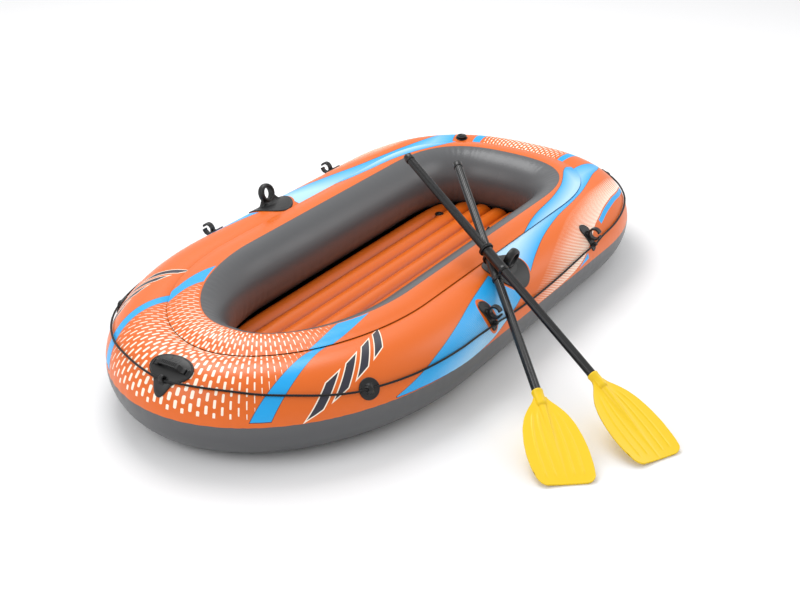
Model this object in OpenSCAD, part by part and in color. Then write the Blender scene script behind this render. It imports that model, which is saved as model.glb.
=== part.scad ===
// Two-person inflatable rowing raft with its pair of two-piece oars.
// +X points to the bow, +Y to port and +Z up.  The origin is on the ground under the hull's middle.

/* [Hull] */
// Length over the air tubes
hull_length = 1960; // [1600:10:2400]
// Width over the air tubes
hull_width = 990; // [800:10:1250]
// Diameter of the outer air tube
outer_tube_d = 234; // [190:2:260]
// Diameter of the inner air tube
inner_tube_d = 210; // [170:2:230]
// Height of the inner tube's centre
inner_tube_z = 135; // [115:1:150]
// Distance between the two tubes' centres along the sides
tube_step = 88; // [75:1:100]
// Extra distance between the two tubes' centres at the bow
bow_extra = 40; // [20:1:50]
// Length of the rounded bow
bow_length = 680; // [550:10:800]
// Length of the rounded stern
stern_length = 530; // [450:10:620]
// Squareness of the stern, 2 is an ellipse
stern_square = 2.5; // [2:0.1:2.8]

/* [Floor] */
// Height of the floor cushion's crests
floor_top = 62; // [50:1:75]
// Number of air channels along the floor
channel_count = 7; // [5:1:9]
// Radius of one channel's crown
channel_r = 40; // [38:1:48]
// Thickness of the bottom sheet
sheet_t = 1.5; // [1:0.1:3]

/* [Fittings] */
// Thickness of a moulded pad
pad_t = 3; // [2:0.1:5]
// Radius of an oarlock's pad
lock_pad_r = 70; // [60:1:72]
// Radius of the hole in an oarlock's ring
lock_hole_r = 18; // [16:0.5:20]
// Wall of an oarlock's ring
lock_wall = 12; // [8:0.5:14]
// Depth of an oarlock's ring along the oar
lock_depth = 22; // [16:1:26]
// Radius of the seat in an oar clip
clip_seat_r = 13; // [12.5:0.5:15]
// Wall of an oar clip
clip_wall = 6; // [4:0.5:8]
// Width of an oar clip along the hull
clip_width = 16; // [12:1:20]
// Radius of a rope holder's disc
holder_r = 28; // [24:1:34]
// Length of the bow handle's pad across the bow
handle_length = 130; // [110:1:150]
// Height of the bow handle's pad along the section
handle_height = 80; // [66:1:90]
// Radius of the grab rope
rope_r = 3; // [2.5:0.1:3.5]
// Radius of each hole that the rope runs through
rope_hole_r = 3.8; // [3.7:0.1:5]

/* [Oars] */
// Length of an oar over all
oar_length = 1160; // [1100:10:1250]
// Outer radius of the oar's shaft
shaft_r = 12; // [10:0.5:12.5]
// Wall of the oar's shaft
shaft_wall = 1.5; // [1:0.1:2.5]
// Distance from the handle's end to the stop ring
stop_at = 400; // [350:5:430]
// Radius of the stop ring
stop_r = 21; // [18:0.5:21]
// Length of the ferrule that joins the two halves
ferrule_length = 84; // [70:1:100]
// Wall of the ferrule
ferrule_wall = 3; // [2:0.1:3]
// Length of the blade with its socket
blade_length = 285; // [250:5:310]
// Width of the blade
blade_width = 155; // [130:1:170]
// Thickness of the blade
blade_t = 4; // [3:0.1:6]
// Running gap between pieces that slide on each other
slide_gap = 0.3; // [0.2:0.05:0.4]

/* [Hidden] */
$fn = 48;

black = [0.13, 0.13, 0.14];
dark = [0.2, 0.2, 0.21];
orange = [0.92, 0.42, 0.17];
grey = [0.36, 0.37, 0.38];
yellow = [0.95, 0.83, 0.15];

// Gap left between pieces of one body that lie on each other
seat_gap = 0.3;
tube_r = outer_tube_d / 2;
inner_r = inner_tube_d / 2;

// The outer tube's centre line: an ellipse at the bow, two straight sides, a squarer curve at the stern.
side_y = hull_width / 2 - tube_r;
bow_a = bow_length - tube_r;
stern_a = stern_length - tube_r;
bow_x = hull_length / 2 - bow_length;
stern_x = -hull_length / 2 + stern_length;

// Stations run round the hull: 0 bow tip, 90 to 190 port side, 280 stern, 370 to 470 starboard side.
straight_start = 90;
straight_end = 190;
stern_station = 280;
loop_length = 560;

function bow_point(t) = [bow_x + bow_a * cos(t), side_y * sin(t)];
function stern_point(t) = [
    stern_x - stern_a * pow(cos(t), 2 / stern_square),
    side_y * pow(sin(t), 2 / stern_square)
];
function side_point(f) = [bow_x + (stern_x - bow_x) * f, side_y];
function half_path(s) =
    s <= straight_start ? bow_point(s)
    : s < straight_end ? side_point((s - straight_start) / (straight_end - straight_start))
    : stern_point(stern_station - s);
function flip(p) = [p[0], -p[1]];
function path(s) =
    s < 0 ? flip(half_path(-s))
    : s <= stern_station ? half_path(s)
    : s <= loop_length ? flip(half_path(loop_length - s))
    : half_path(s - loop_length);
function heading(s) =
    let (step = path(s + 0.5) - path(s - 0.5))
    atan2(step[1], step[0]) - 90;
function turned(s) =
    let (d = heading(s + 2) - heading(s - 2))
    d < -180 ? d + 360 : d;
// Radius of the centre line's bend at a station, 0 where it is straight
function bend(s) =
    turned(s) < 0.5 ? 0 : norm(path(s + 2) - path(s - 2)) / (turned(s) * PI / 180);

// A point of a section: u outwards from the outer tube's centre line, z up
function place(s, u, z) =
    let (p = path(s), h = heading(s))
    [p[0] + u * cos(h), p[1] + u * sin(h), z];
function on_tube(s, elev, lift) =
    place(s, (tube_r + lift) * cos(elev), tube_r + (tube_r + lift) * sin(elev));
// Distance from the outer tube's centre to the inner tube's, larger at the bow
function step_in(s) = tube_step + bow_extra * pow(max(0, cos(heading(s))), 2);

ring_step = 7.5;
ring_stations = [
    for (s = [0:ring_step:straight_start]) s,
    for (s = [straight_end:ring_step:loop_length - straight_end]) s,
    for (s = [loop_length - straight_start:ring_step:loop_length - ring_step]) s
];

// A closed tube through rings of points that run counter-clockwise, seen against the path
module closed_sweep(rings) {
    n = len(rings);
    m = len(rings[0]);
    polyhedron(
        points = [for (r = rings) for (p = r) p],
        faces = [
            for (i = [0:n - 1]) for (j = [0:m - 1])
                let (a = i * m + j, b = i * m + (j + 1) % m,
                     c = ((i + 1) % n) * m + (j + 1) % m, d = ((i + 1) % n) * m + j)
                each [[a, b, c], [a, c, d]]
        ]
    );
}

// The inner tube's section: the part of its circle that lies outside the outer tube
cut_steps = 10;
function inner_section(s) =
    let (
        d = step_in(s),
        rise = inner_tube_z - tube_r,
        reach = norm([d, rise]),
        toward = atan2(rise, -d),
        r1 = tube_r + 2 * seat_gap,
        a1 = acos((reach * reach + r1 * r1 - inner_r * inner_r) / (2 * reach * r1)),
        a2 = acos((reach * reach + inner_r * inner_r - r1 * r1) / (2 * reach * inner_r)),
        own = 360 - 2 * a2,
        cut_r = r1 / cos(a1 / cut_steps)
    )
    [
        for (k = [0:20]) let (a = toward - 180 + a2 + own * k / 20)
            place(s, -d + inner_r * cos(a), inner_tube_z + inner_r * sin(a)),
        for (k = [1:cut_steps - 1]) let (a = toward + a1 - 2 * a1 * k / cut_steps)
            place(s, cut_r * cos(a), tube_r + cut_r * sin(a))
    ];

outer_sides = 28;
module outer_tube() {
    color(orange)
        closed_sweep([
            for (s = ring_stations) [
                for (k = [0:outer_sides - 1]) let (a = 360 * k / outer_sides)
                    place(s, tube_r * cos(a), tube_r + tube_r * sin(a))
            ]
        ]);
}

module inner_tube() {
    color(grey)
        closed_sweep([for (s = ring_stations) inner_section(s)]);
}

// Outlines that follow the hull, measured inwards from the outer tube's centre line
fine_stations = [
    for (s = [0:5:straight_start]) s,
    for (s = [straight_end:5:loop_length - straight_end]) s,
    for (s = [loop_length - straight_start:5:loop_length - 5]) s
];
function flat(p) = [p[0], p[1]];
floor_side = 1 + sqrt(inner_r * inner_r - pow(inner_tube_z - floor_top, 2));
sheet_side = sqrt(tube_r * tube_r - pow(tube_r - sheet_t - seat_gap, 2)) + 2;
cockpit_width = 2 * (side_y - tube_step - floor_side);
channel_pitch = cockpit_width / channel_count;
// Place of the floor's valve
floor_valve_x = stern_x - 100;
floor_valve_y = -2.4 * channel_pitch;
floor_valve_r = 14;
floor_valve_top = 60;

module floor_cushion() {
    z0 = sheet_t + seat_gap;
    color(orange)
        difference() {
            intersection() {
                translate([0, 0, z0])
                    linear_extrude(floor_top - z0)
                        polygon([for (s = fine_stations) flat(place(s, -step_in(s) - floor_side, 0))]);
                union() {
                    translate([-hull_length / 2, -hull_width / 2, 0])
                        cube([hull_length, hull_width, floor_top - channel_r + 18]);
                    for (k = [0:channel_count - 1])
                        translate([-hull_length / 2, (k - (channel_count - 1) / 2) * channel_pitch,
                                   floor_top - channel_r])
                            rotate([0, 90, 0])
                                cylinder(r = channel_r, h = hull_length);
                }
            }
            translate([floor_valve_x, floor_valve_y, floor_top - 30])
                cylinder(r = floor_valve_r + seat_gap, h = 40);
        }
}

module bottom_sheet() {
    color(grey)
        linear_extrude(sheet_t)
            polygon([for (s = fine_stations) flat(place(s, -sheet_side, 0))]);
}

// Frames on the outer tube: the section's centre, and the surface at an elevation.
// On the surface +Z points outwards, +X down the outer side and +Y along the tube.
module at_section(s, side) {
    p = half_path(s);
    mirror([0, side < 0 ? 1 : 0, 0])
        translate([p[0], p[1], tube_r])
            rotate([0, 0, heading(s)])
                children();
}
module on_surface(elev) {
    rotate([0, 90 - elev, 0])
        translate([0, 0, tube_r])
            children();
}

module tube_solid(r, radius) {
    if (radius > 0)
        translate([-radius, 0, 0])
            rotate_extrude($fn = 96)
                translate([radius, 0])
                    circle(r = r);
    else
        rotate([90, 0, 0])
            cylinder(r = r, h = 400, center = true);
}
// A moulded pad of even thickness that lies on the tube, with the 2D child as its outline
module tube_pad(elev, radius, thickness, reach, gap = seat_gap) {
    intersection() {
        rotate([0, 90 - elev, 0])
            translate([0, 0, tube_r - reach])
                linear_extrude(2 * reach)
                    children();
        difference() {
            tube_solid(tube_r + gap + thickness, radius);
            tube_solid(tube_r + gap, radius);
        }
    }
}
// A block with a rope hole, standing on a pad
eye_lift = 7;
eye_top = 13.5;
module rope_eye(elev, across) {
    on_surface(elev)
        difference() {
            translate([-across / 2, -eye_width / 2, 1])
                cube([across, eye_width, eye_top - 1]);
            translate([0, 0, eye_lift])
                rotate([90, 0, 0])
                    cylinder(r = rope_hole_r, h = 2 * eye_width, center = true);
        }
}
eye_width = 16;

// Oarlocks: a round pad with an upright ring whose hole runs athwartships
lock_station = 129;
lock_elev = 72;
lock_height = 36;
lock_r = lock_hole_r + lock_wall;
module oarlock(side) {
    color(black)
        at_section(lock_station, side) {
            difference() {
                union() {
                    tube_pad(lock_elev, 0, pad_t, 50)
                        circle(r = lock_pad_r);
                    on_surface(lock_elev) {
                        translate([0, 0, lock_height])
                            rotate([0, 90, 0])
                                cylinder(r = lock_r, h = lock_depth, center = true);
                        translate([-lock_depth / 2, -lock_r, 1])
                            cube([lock_depth, 2 * lock_r, lock_height / 2 - 2]);
                        for (m = [0, 1])
                            mirror([0, m, 0])
                                rotate([90, 0, 90])
                                    linear_extrude(8, center = true)
                                        polygon([[lock_r - 6, 1], [lock_r + 20, 1], [lock_r - 2, 26], [lock_r - 6, 26]]);
                    }
                }
                on_surface(lock_elev)
                    translate([0, 0, lock_height])
                        rotate([0, 90, 0])
                            cylinder(r = lock_hole_r, h = 2 * lock_depth, center = true);
            }
        }
}
module oarlock_port() { oarlock(1); }
module oarlock_starboard() { oarlock(-1); }

// Outline of a plate with one wide and one narrow round end
function pill(x1, r1, x2, r2) =
    let (open = acos((r1 - r2) / (x2 - x1)))
    [
        for (k = [0:12]) let (a = open + (360 - 2 * open) * k / 12) [x1 + r1 * cos(a), r1 * sin(a)],
        for (k = [0:8]) let (a = -open + 2 * open * k / 8) [x2 + r2 * cos(a), r2 * sin(a)]
    ];

// Oar clips: a plate with an open hook for the stowed shaft and an eye for the rope below it
clip_fore_station = 102.5;
clip_aft_station = 182;
clip_elev = 37;
clip_eye_elev = 23.5;
clip_r = clip_seat_r + clip_wall;
clip_height = clip_r + 5;
module oar_clip(s, side) {
    color(black)
        at_section(s, side) {
            tube_pad(clip_elev, 0, pad_t, 30)
                polygon(pill(-22, 21, 33, 12));
            rope_eye(clip_eye_elev, 14);
            on_surface(clip_elev) {
                difference() {
                    translate([-15, -clip_width / 2, 1])
                        cube([30, clip_width, 12]);
                    translate([0, 0, clip_height])
                        rotate([90, 0, 0])
                            cylinder(r = clip_seat_r, h = 2 * clip_width, center = true);
                }
                translate([0, 0, clip_height])
                    rotate([90, 0, 0])
                        linear_extrude(clip_width, center = true)
                            difference() {
                                circle(r = clip_r);
                                circle(r = clip_seat_r);
                                polygon([[0, 0], [50 * sin(-18), 50 * cos(18)], [50 * sin(48), 50 * cos(48)]]);
                            }
            }
        }
}
module oar_clip_port_fore() { oar_clip(clip_fore_station, 1); }
module oar_clip_port_aft() { oar_clip(clip_aft_station, 1); }
module oar_clip_starboard_fore() { oar_clip(clip_fore_station, -1); }
module oar_clip_starboard_aft() { oar_clip(clip_aft_station, -1); }

// Rope holders: a rimmed disc with a domed eye
holder_fore_station = 55;
holder_aft_station = 246;
holder_fore_elev = 27;
holder_aft_elev = 31;
holder_rim = 4;
module rope_holder(s, elev, side) {
    color(black)
        at_section(s, side) {
            tube_pad(elev, bend(s), pad_t, 14)
                circle(r = holder_r);
            tube_pad(elev, bend(s), pad_t + 1.5, 14)
                difference() {
                    circle(r = holder_r);
                    circle(r = holder_r - holder_rim);
                    square([16, 4 * holder_r], center = true);
                }
            on_surface(elev)
                difference() {
                    translate([0, 0, 1])
                        cylinder(r = eye_width / 2 + 5, h = eye_top - 1);
                    translate([0, 0, eye_lift])
                        rotate([90, 0, 0])
                            cylinder(r = rope_hole_r, h = 4 * holder_r, center = true);
                }
        }
}
module rope_holder_port_fore() { rope_holder(holder_fore_station, holder_fore_elev, 1); }
module rope_holder_port_aft() { rope_holder(holder_aft_station, holder_aft_elev, 1); }
module rope_holder_starboard_fore() { rope_holder(holder_fore_station, holder_fore_elev, -1); }
module rope_holder_starboard_aft() { rope_holder(holder_aft_station, holder_aft_elev, -1); }

// Bow handle: an oval pad with a tongue below it that holds the rope, and a strap grip across it
handle_elev = 63;
handle_eye_elev = 45;
grip_rise = 14;
grip_t = 6;
grip_width = 14;
grip_span = 92;
grip_foot = 12;
function tongue(a) = 34 * exp(-pow(a / 26, 2));
function handle_radius(a) =
    1 / norm([cos(a) / (handle_height / 2), sin(a) / (handle_length / 2)]) + tongue(a);
module bow_handle_pad() {
    color(black)
        at_section(0, 1) {
            tube_pad(handle_elev, bend(0), pad_t, 34, 3 * seat_gap)
                polygon([for (a = [-180:6:174]) handle_radius(a) * [cos(a), sin(a)]]);
            rope_eye(handle_eye_elev, 20);
        }
}
module bow_handle_grip() {
    z_foot = pad_t + 2 * seat_gap;
    color(dark)
        at_section(0, 1)
            on_surface(handle_elev)
                rotate([90, 0, 90])
                    linear_extrude(grip_width, center = true)
                        polygon([
                            [-grip_span / 2, z_foot - 1.2], [-grip_span / 2 + grip_foot, z_foot - 0.5],
                            [-grip_span / 2 + grip_foot + 6, grip_rise], [grip_span / 2 - grip_foot - 6, grip_rise],
                            [grip_span / 2 - grip_foot, z_foot - 0.5], [grip_span / 2, z_foot - 1.2],
                            [grip_span / 2, z_foot + grip_t - 1], [grip_span / 2 - grip_foot, grip_rise + grip_t],
                            [-grip_span / 2 + grip_foot, grip_rise + grip_t], [-grip_span / 2, z_foot + grip_t - 1]
                        ]);
}

// Grab rope: station, elevation and lift of its free points along the port half
rope_route = [
    [[5, 46, 9], [11, 47, 6], [20, 46, 5], [28, 42, 5], [36, 38, 5], [43, 33, 5], [49, 29, 6]],
    [[61, 26, 6], [68, 25, 5], [76, 25, 5], [84, 25, 5], [91, 25, 5], [98, 24, 6]],
    [[112, 21, 6], [120, 19, 5], [129, 18, 5], [140, 18, 5], [152, 19, 5], [164, 21, 5], [175, 23, 6]],
    [[189, 26, 6], [199, 28, 5], [210, 30, 5], [222, 31, 5], [233, 32, 5], [241, 32, 6]],
    [[251, 29, 6], [258, 27, 5], [266, 25, 5], [273, 24, 5], [277, 24, 5]]
];
eyes = [
    [0, handle_eye_elev], [holder_fore_station, holder_fore_elev], [clip_fore_station, clip_eye_elev],
    [clip_aft_station, clip_eye_elev], [holder_aft_station, holder_aft_elev]
];
// The two points where the rope enters and leaves an eye, in line with its hole
function eye_point(e, reach) =
    let (c = on_tube(e[0], e[1], eye_lift), h = heading(e[0]))
    [c[0] - reach * sin(h), c[1] + reach * cos(h), c[2]];
eye_reach = eye_width / 2 + 4;
rope_half = [
    for (k = [0:4]) each [
        if (k > 0) eye_point(eyes[k], -eye_reach),
        eye_point(eyes[k], eye_reach),
        for (p = rope_route[k]) on_tube(p[0], p[1], p[2])
    ]
];
knot_length = 22;
knot_r = 7;
knot_centre = on_tube(stern_station, 24, knot_r + 1);
rope_end = knot_centre + [0, knot_length / 2, 0];
function starboard(p) = [p[0], -p[1], p[2]];
rope_points = [
    starboard(rope_end),
    for (k = [len(rope_half) - 1:-1:0]) starboard(rope_half[k]),
    for (p = rope_half) p,
    rope_end
];
rope_sides = 8;
module grab_rope() {
    n = len(rope_points);
    color(black)
        polyhedron(
            points = [
                for (i = [0:n - 1])
                    let (
                        a = rope_points[max(0, i - 1)],
                        b = rope_points[min(n - 1, i + 1)],
                        along = (i == 0 || i == n - 1) ? [0, -1, 0] : (b - a) / norm(b - a),
                        side = cross(along, [0, 0, 1]) / norm(cross(along, [0, 0, 1])),
                        up = cross(side, along)
                    )
                    for (k = [0:rope_sides - 1]) let (t = 360 * k / rope_sides)
                        rope_points[i] + rope_r * (cos(t) * side + sin(t) * up)
            ],
            faces = [
                [for (k = [rope_sides - 1:-1:0]) k],
                [for (k = [0:rope_sides - 1]) (n - 1) * rope_sides + k],
                for (i = [0:n - 2]) for (k = [0:rope_sides - 1])
                    let (a = i * rope_sides + k, b = i * rope_sides + (k + 1) % rope_sides)
                    each [[a, b + rope_sides, a + rope_sides], [a, b, b + rope_sides]]
            ]
        );
}
module rope_knot() {
    color(black)
        translate(knot_centre)
            rotate([90, 0, 0])
                cylinder(r = knot_r, h = knot_length, center = true);
}

// Valve of the outer tube, on top near the stern, with its screw cap
hull_valve_station = 249;
hull_valve_elev = 96;
valve_flange_r = 20;
valve_neck_r = 12;
valve_neck_top = 7;
cap_r = 16;
cap_t = 5;
module hull_valve_base() {
    color(black)
        at_section(hull_valve_station, -1) {
            tube_pad(hull_valve_elev, bend(hull_valve_station), pad_t - 1, 12)
                circle(r = valve_flange_r);
            on_surface(hull_valve_elev)
                translate([0, 0, 1])
                    cylinder(r = valve_neck_r, h = valve_neck_top - 1);
        }
}
module hull_valve_cap() {
    color(dark)
        at_section(hull_valve_station, -1)
            on_surface(hull_valve_elev)
                difference() {
                    translate([0, 0, valve_neck_top - cap_t + 1.5])
                        cylinder(r = cap_r, h = cap_t + 1);
                    cylinder(r = valve_neck_r + slide_gap, h = valve_neck_top + slide_gap);
                    for (m = [0, 1])
                        mirror([m, 0, 0])
                            translate([3, -9, valve_neck_top + 1.4])
                                cube([7, 18, 4]);
                }
}

// Valve of the inner tube, on its inner wall on the port side
inner_valve_x = stern_x + 150;
inner_valve_elev = 20;
inner_stem_r = 7;
inner_stem = 12;
module on_inner_wall() {
    translate([inner_valve_x, side_y - tube_step, inner_tube_z])
        rotate([90 - inner_valve_elev, 0, 0])
            translate([0, 0, inner_r])
                children();
}
module inner_valve_base() {
    color(black)
        on_inner_wall()
            difference() {
                union() {
                    translate([0, 0, -1])
                        cylinder(r = 17, h = pad_t);
                    cylinder(r = inner_stem_r, h = inner_stem);
                }
                translate([0, 0, 4])
                    cylinder(r = inner_stem_r - 2.5, h = inner_stem);
                translate([0, 0, -inner_r])
                    rotate([0, 90, 0])
                        cylinder(r = inner_r + seat_gap, h = 60, center = true, $fn = 180);
            }
}
module inner_valve_plug() {
    color(dark)
        on_inner_wall() {
            translate([0, 0, inner_stem + slide_gap])
                cylinder(r = inner_stem_r + 1.5, h = 4);
            translate([0, 0, 5])
                cylinder(r = inner_stem_r - 2.5 - slide_gap, h = inner_stem);
        }
}

// Valve of the floor, sunk between two channels near the stern
module floor_valve_base() {
    color(black)
        translate([floor_valve_x, floor_valve_y, 0])
            difference() {
                translate([0, 0, floor_top - 29])
                    cylinder(r = floor_valve_r, h = floor_valve_top - floor_top + 29);
                translate([0, 0, floor_valve_top - 12])
                    cylinder(r = 6, h = 20);
            }
}
module floor_valve_plug() {
    color(dark)
        translate([floor_valve_x, floor_valve_y, floor_valve_top]) {
            translate([0, 0, slide_gap])
                cylinder(r = 9, h = 3);
            translate([0, 0, -10])
                cylinder(r = 6 - slide_gap, h = 11);
        }
}

// Oars.  An oar's own frame has its origin at the stop ring and +X towards the blade.
// Both cross over the port side; the upper one lies on the lower one.
oar_cross = [88, side_y + 44.5];
lower_yaw = 45.4;
lower_pitch = 19.7;
lower_cross_z = 2 * tube_r + 12.7;
lower_cross_at = 60;
upper_yaw = 68.4;
upper_pitch = 22.6;
upper_cross_z = lower_cross_z + 37.9;
upper_cross_at = 48;
module place_oar(yaw, pitch, z, at) {
    translate([oar_cross[0], oar_cross[1], z])
        rotate([0, pitch, yaw])
            translate([-at, 0, 0])
                children();
}
module lower_oar() { place_oar(lower_yaw, lower_pitch, lower_cross_z, lower_cross_at) children(); }
module upper_oar() { place_oar(upper_yaw, upper_pitch, upper_cross_z, upper_cross_at) children(); }
module along_oar() { rotate([0, 90, 0]) children(); }

shaft_bore = shaft_r - shaft_wall;
stop_t = 8;
ferrule_start = stop_t / 2 + slide_gap;
ferrule_r = shaft_r + slide_gap + ferrule_wall;
half_joint = ferrule_start + ferrule_length * 0.55;
blade_end = oar_length - stop_at;
socket_start = blade_end - blade_length;
socket_length = 50;
socket_r = shaft_r + ferrule_wall;
cap_length = 22;

module grip_cap() {
    color(dark)
        along_oar()
            translate([0, 0, -stop_at])
                difference() {
                    cylinder(r = shaft_r + 1.5, h = cap_length);
                    translate([0, 0, 3])
                        cylinder(r = shaft_r, h = cap_length);
                }
}
module handle_shaft() {
    color(black)
        along_oar()
            translate([0, 0, 3 - stop_at])
                difference() {
                    cylinder(r = shaft_r, h = stop_at - 3 + half_joint);
                    translate([0, 0, -1])
                        cylinder(r = shaft_bore, h = stop_at + half_joint);
                }
}
module stop_ring() {
    color(dark)
        along_oar()
            difference() {
                cylinder(r = stop_r, h = stop_t, center = true);
                cylinder(r = shaft_r + slide_gap, h = 2 * stop_t, center = true);
            }
}
module ferrule() {
    color(black)
        along_oar()
            translate([0, 0, ferrule_start])
                difference() {
                    cylinder(r = ferrule_r, h = ferrule_length);
                    translate([0, 0, -1])
                        cylinder(r = shaft_r + slide_gap, h = ferrule_length + 2);
                }
}
module blade_shaft() {
    color(black)
        along_oar()
            translate([0, 0, half_joint + 1])
                difference() {
                    cylinder(r = shaft_r, h = socket_start + socket_length - half_joint - 5);
                    translate([0, 0, -1])
                        cylinder(r = shaft_bore, h = blade_end);
                }
}
// Half outline of the blade: distance from the throat and half width, as shares of length and width
blade_side = [[0, 0.1], [0.06, 0.13], [0.16, 0.3], [0.28, 0.42], [0.42, 0.48], [0.6, 0.5], [0.8, 0.49]];
blade_tilt = 2.2;
module blade(hand) {
    plate = blade_length - socket_length + 10;
    tip_near = [[0.93, 0.47], [0.98, 0.4], [1, 0.3]];
    tip_far = [[0.86, 0.46], [0.92, 0.36], [0.95, 0.2]];
    outline = concat(
        [for (p = concat(blade_side, tip_near)) [p[0] * plate, p[1] * blade_width]],
        [for (k = [2:-1:0]) [tip_far[k][0] * plate, -tip_far[k][1] * blade_width]],
        [for (k = [len(blade_side) - 1:-1:0]) [blade_side[k][0] * plate, -blade_side[k][1] * blade_width]]
    );
    color(yellow)
        difference() {
            union() {
                translate([socket_start, 0, 0])
                    along_oar()
                        cylinder(r = socket_r, h = socket_length);
                translate([socket_start + socket_length - 10, 0, 0])
                    rotate([0, blade_tilt, 0]) {
                        mirror([0, hand < 0 ? 1 : 0, 0])
                            translate([0, 0, -blade_t / 2])
                                linear_extrude(blade_t)
                                    polygon(outline);
                        along_oar()
                            cylinder(r1 = socket_r - 3, r2 = 3, h = plate * 0.85, $fn = 24);
                    }
            }
            along_oar()
                translate([0, 0, socket_start - 1])
                    cylinder(r = shaft_r + slide_gap, h = socket_length - 2);
        }
}

module lower_oar_grip_cap() { lower_oar() grip_cap(); }
module lower_oar_handle_shaft() { lower_oar() handle_shaft(); }
module lower_oar_stop_ring() { lower_oar() stop_ring(); }
module lower_oar_ferrule() { lower_oar() ferrule(); }
module lower_oar_blade_shaft() { lower_oar() blade_shaft(); }
module lower_oar_blade() { lower_oar() blade(1); }
module upper_oar_grip_cap() { upper_oar() grip_cap(); }
module upper_oar_handle_shaft() { upper_oar() handle_shaft(); }
module upper_oar_stop_ring() { upper_oar() stop_ring(); }
module upper_oar_ferrule() { upper_oar() ferrule(); }
module upper_oar_blade_shaft() { upper_oar() blade_shaft(); }
module upper_oar_blade() { upper_oar() blade(1); }

outer_tube();
inner_tube();
floor_cushion();
bottom_sheet();
oarlock_port();
oarlock_starboard();
oar_clip_port_fore();
oar_clip_port_aft();
oar_clip_starboard_fore();
oar_clip_starboard_aft();
rope_holder_port_fore();
rope_holder_port_aft();
rope_holder_starboard_fore();
rope_holder_starboard_aft();
bow_handle_pad();
bow_handle_grip();
grab_rope();
rope_knot();
hull_valve_base();
hull_valve_cap();
inner_valve_base();
inner_valve_plug();
floor_valve_base();
floor_valve_plug();
lower_oar_grip_cap();
lower_oar_handle_shaft();
lower_oar_stop_ring();
lower_oar_ferrule();
lower_oar_blade_shaft();
lower_oar_blade();
upper_oar_grip_cap();
upper_oar_handle_shaft();
upper_oar_stop_ring();
upper_oar_ferrule();
upper_oar_blade_shaft();
upper_oar_blade();
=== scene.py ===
"""Looks of an inflatable rowing raft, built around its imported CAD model."""

from math import acos, atan2, cos, degrees, hypot, pi, radians, sin, sqrt

import bmesh
import bpy
import numpy as np
from mathutils import Matrix, Vector


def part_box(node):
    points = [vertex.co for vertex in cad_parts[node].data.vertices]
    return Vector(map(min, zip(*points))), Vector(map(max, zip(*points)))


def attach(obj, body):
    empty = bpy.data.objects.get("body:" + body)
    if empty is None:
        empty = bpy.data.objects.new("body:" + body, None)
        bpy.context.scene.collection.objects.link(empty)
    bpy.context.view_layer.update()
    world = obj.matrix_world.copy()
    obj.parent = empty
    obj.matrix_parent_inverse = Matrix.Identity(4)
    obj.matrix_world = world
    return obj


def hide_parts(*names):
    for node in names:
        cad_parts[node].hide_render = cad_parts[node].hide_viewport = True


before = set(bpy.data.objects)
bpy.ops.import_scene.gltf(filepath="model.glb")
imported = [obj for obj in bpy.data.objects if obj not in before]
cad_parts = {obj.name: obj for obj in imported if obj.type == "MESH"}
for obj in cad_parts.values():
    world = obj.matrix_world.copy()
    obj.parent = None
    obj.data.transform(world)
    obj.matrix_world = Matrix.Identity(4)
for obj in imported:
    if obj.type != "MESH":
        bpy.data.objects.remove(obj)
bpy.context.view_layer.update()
MM = 0.001

# ---------------------------------------------------------------- camera

CAMERA_AT = Vector((2.926, 1.969, 1.814))
CAMERA_AZIMUTH = radians(123.17)
CAMERA_ELEVATION = radians(27.07)
CAMERA_LENS = 59.73


def add_camera():
    """The camera, turned by its azimuth and elevation."""
    back = Vector(
        (
            sin(CAMERA_AZIMUTH) * cos(CAMERA_ELEVATION),
            -cos(CAMERA_AZIMUTH) * cos(CAMERA_ELEVATION),
            sin(CAMERA_ELEVATION),
        )
    )
    right = Vector((cos(CAMERA_AZIMUTH), sin(CAMERA_AZIMUTH), 0))
    turn = Matrix((right, back.cross(right), back)).transposed()
    data = bpy.data.cameras.new("camera")
    data.lens = CAMERA_LENS
    data.sensor_width = 36
    camera = bpy.data.objects.new("camera", data)
    camera.matrix_world = Matrix.Translation(CAMERA_AT) @ turn.to_4x4()
    bpy.context.collection.objects.link(camera)
    bpy.context.scene.camera = camera


add_camera()

# ---------------------------------------------------------------- the hull's shape

# The outer tube's centre line: an ellipse at the bow, two straight sides, a squarer curve at the stern
# Its stations are those of the CAD source: 0 bow tip, 90 to 190 port side, 280 stern.
hull_low, hull_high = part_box("outer_tube")
TUBE_R = (hull_high.z - hull_low.z) / 2
SIDE_Y = hull_high.y - TUBE_R
BOW_X = hull_high.x - 0.680
STERN_X = hull_low.x + 0.530
BOW_A = 0.680 - TUBE_R
STERN_A = 0.530 - TUBE_R
STERN_POWER = 2 / 2.5
LAST_STATION = 280
INNER_R = 0.105
INNER_Z = 0.135
TUBE_STEP = 0.088
BOW_EXTRA = 0.040
SEAT_GAP = 0.0003


def station_line(station):
    """Points of the centre line's port half, for an array of stations."""
    bow = np.radians(np.clip(station, 0, 90))
    stern = np.radians(np.clip(LAST_STATION - station, 0, 90))
    share = (np.clip(station, 90, 190) - 90) / 100
    along_bow, along_side = station <= 90, station < 190
    side_x = BOW_X + (STERN_X - BOW_X) * share
    stern_x = STERN_X - STERN_A * np.cos(stern) ** STERN_POWER
    x = np.where(along_bow, BOW_X + BOW_A * np.cos(bow), np.where(along_side, side_x, stern_x))
    y = SIDE_Y * np.where(along_bow, np.sin(bow), np.where(along_side, 1, np.sin(stern) ** STERN_POWER))
    return x, y


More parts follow.
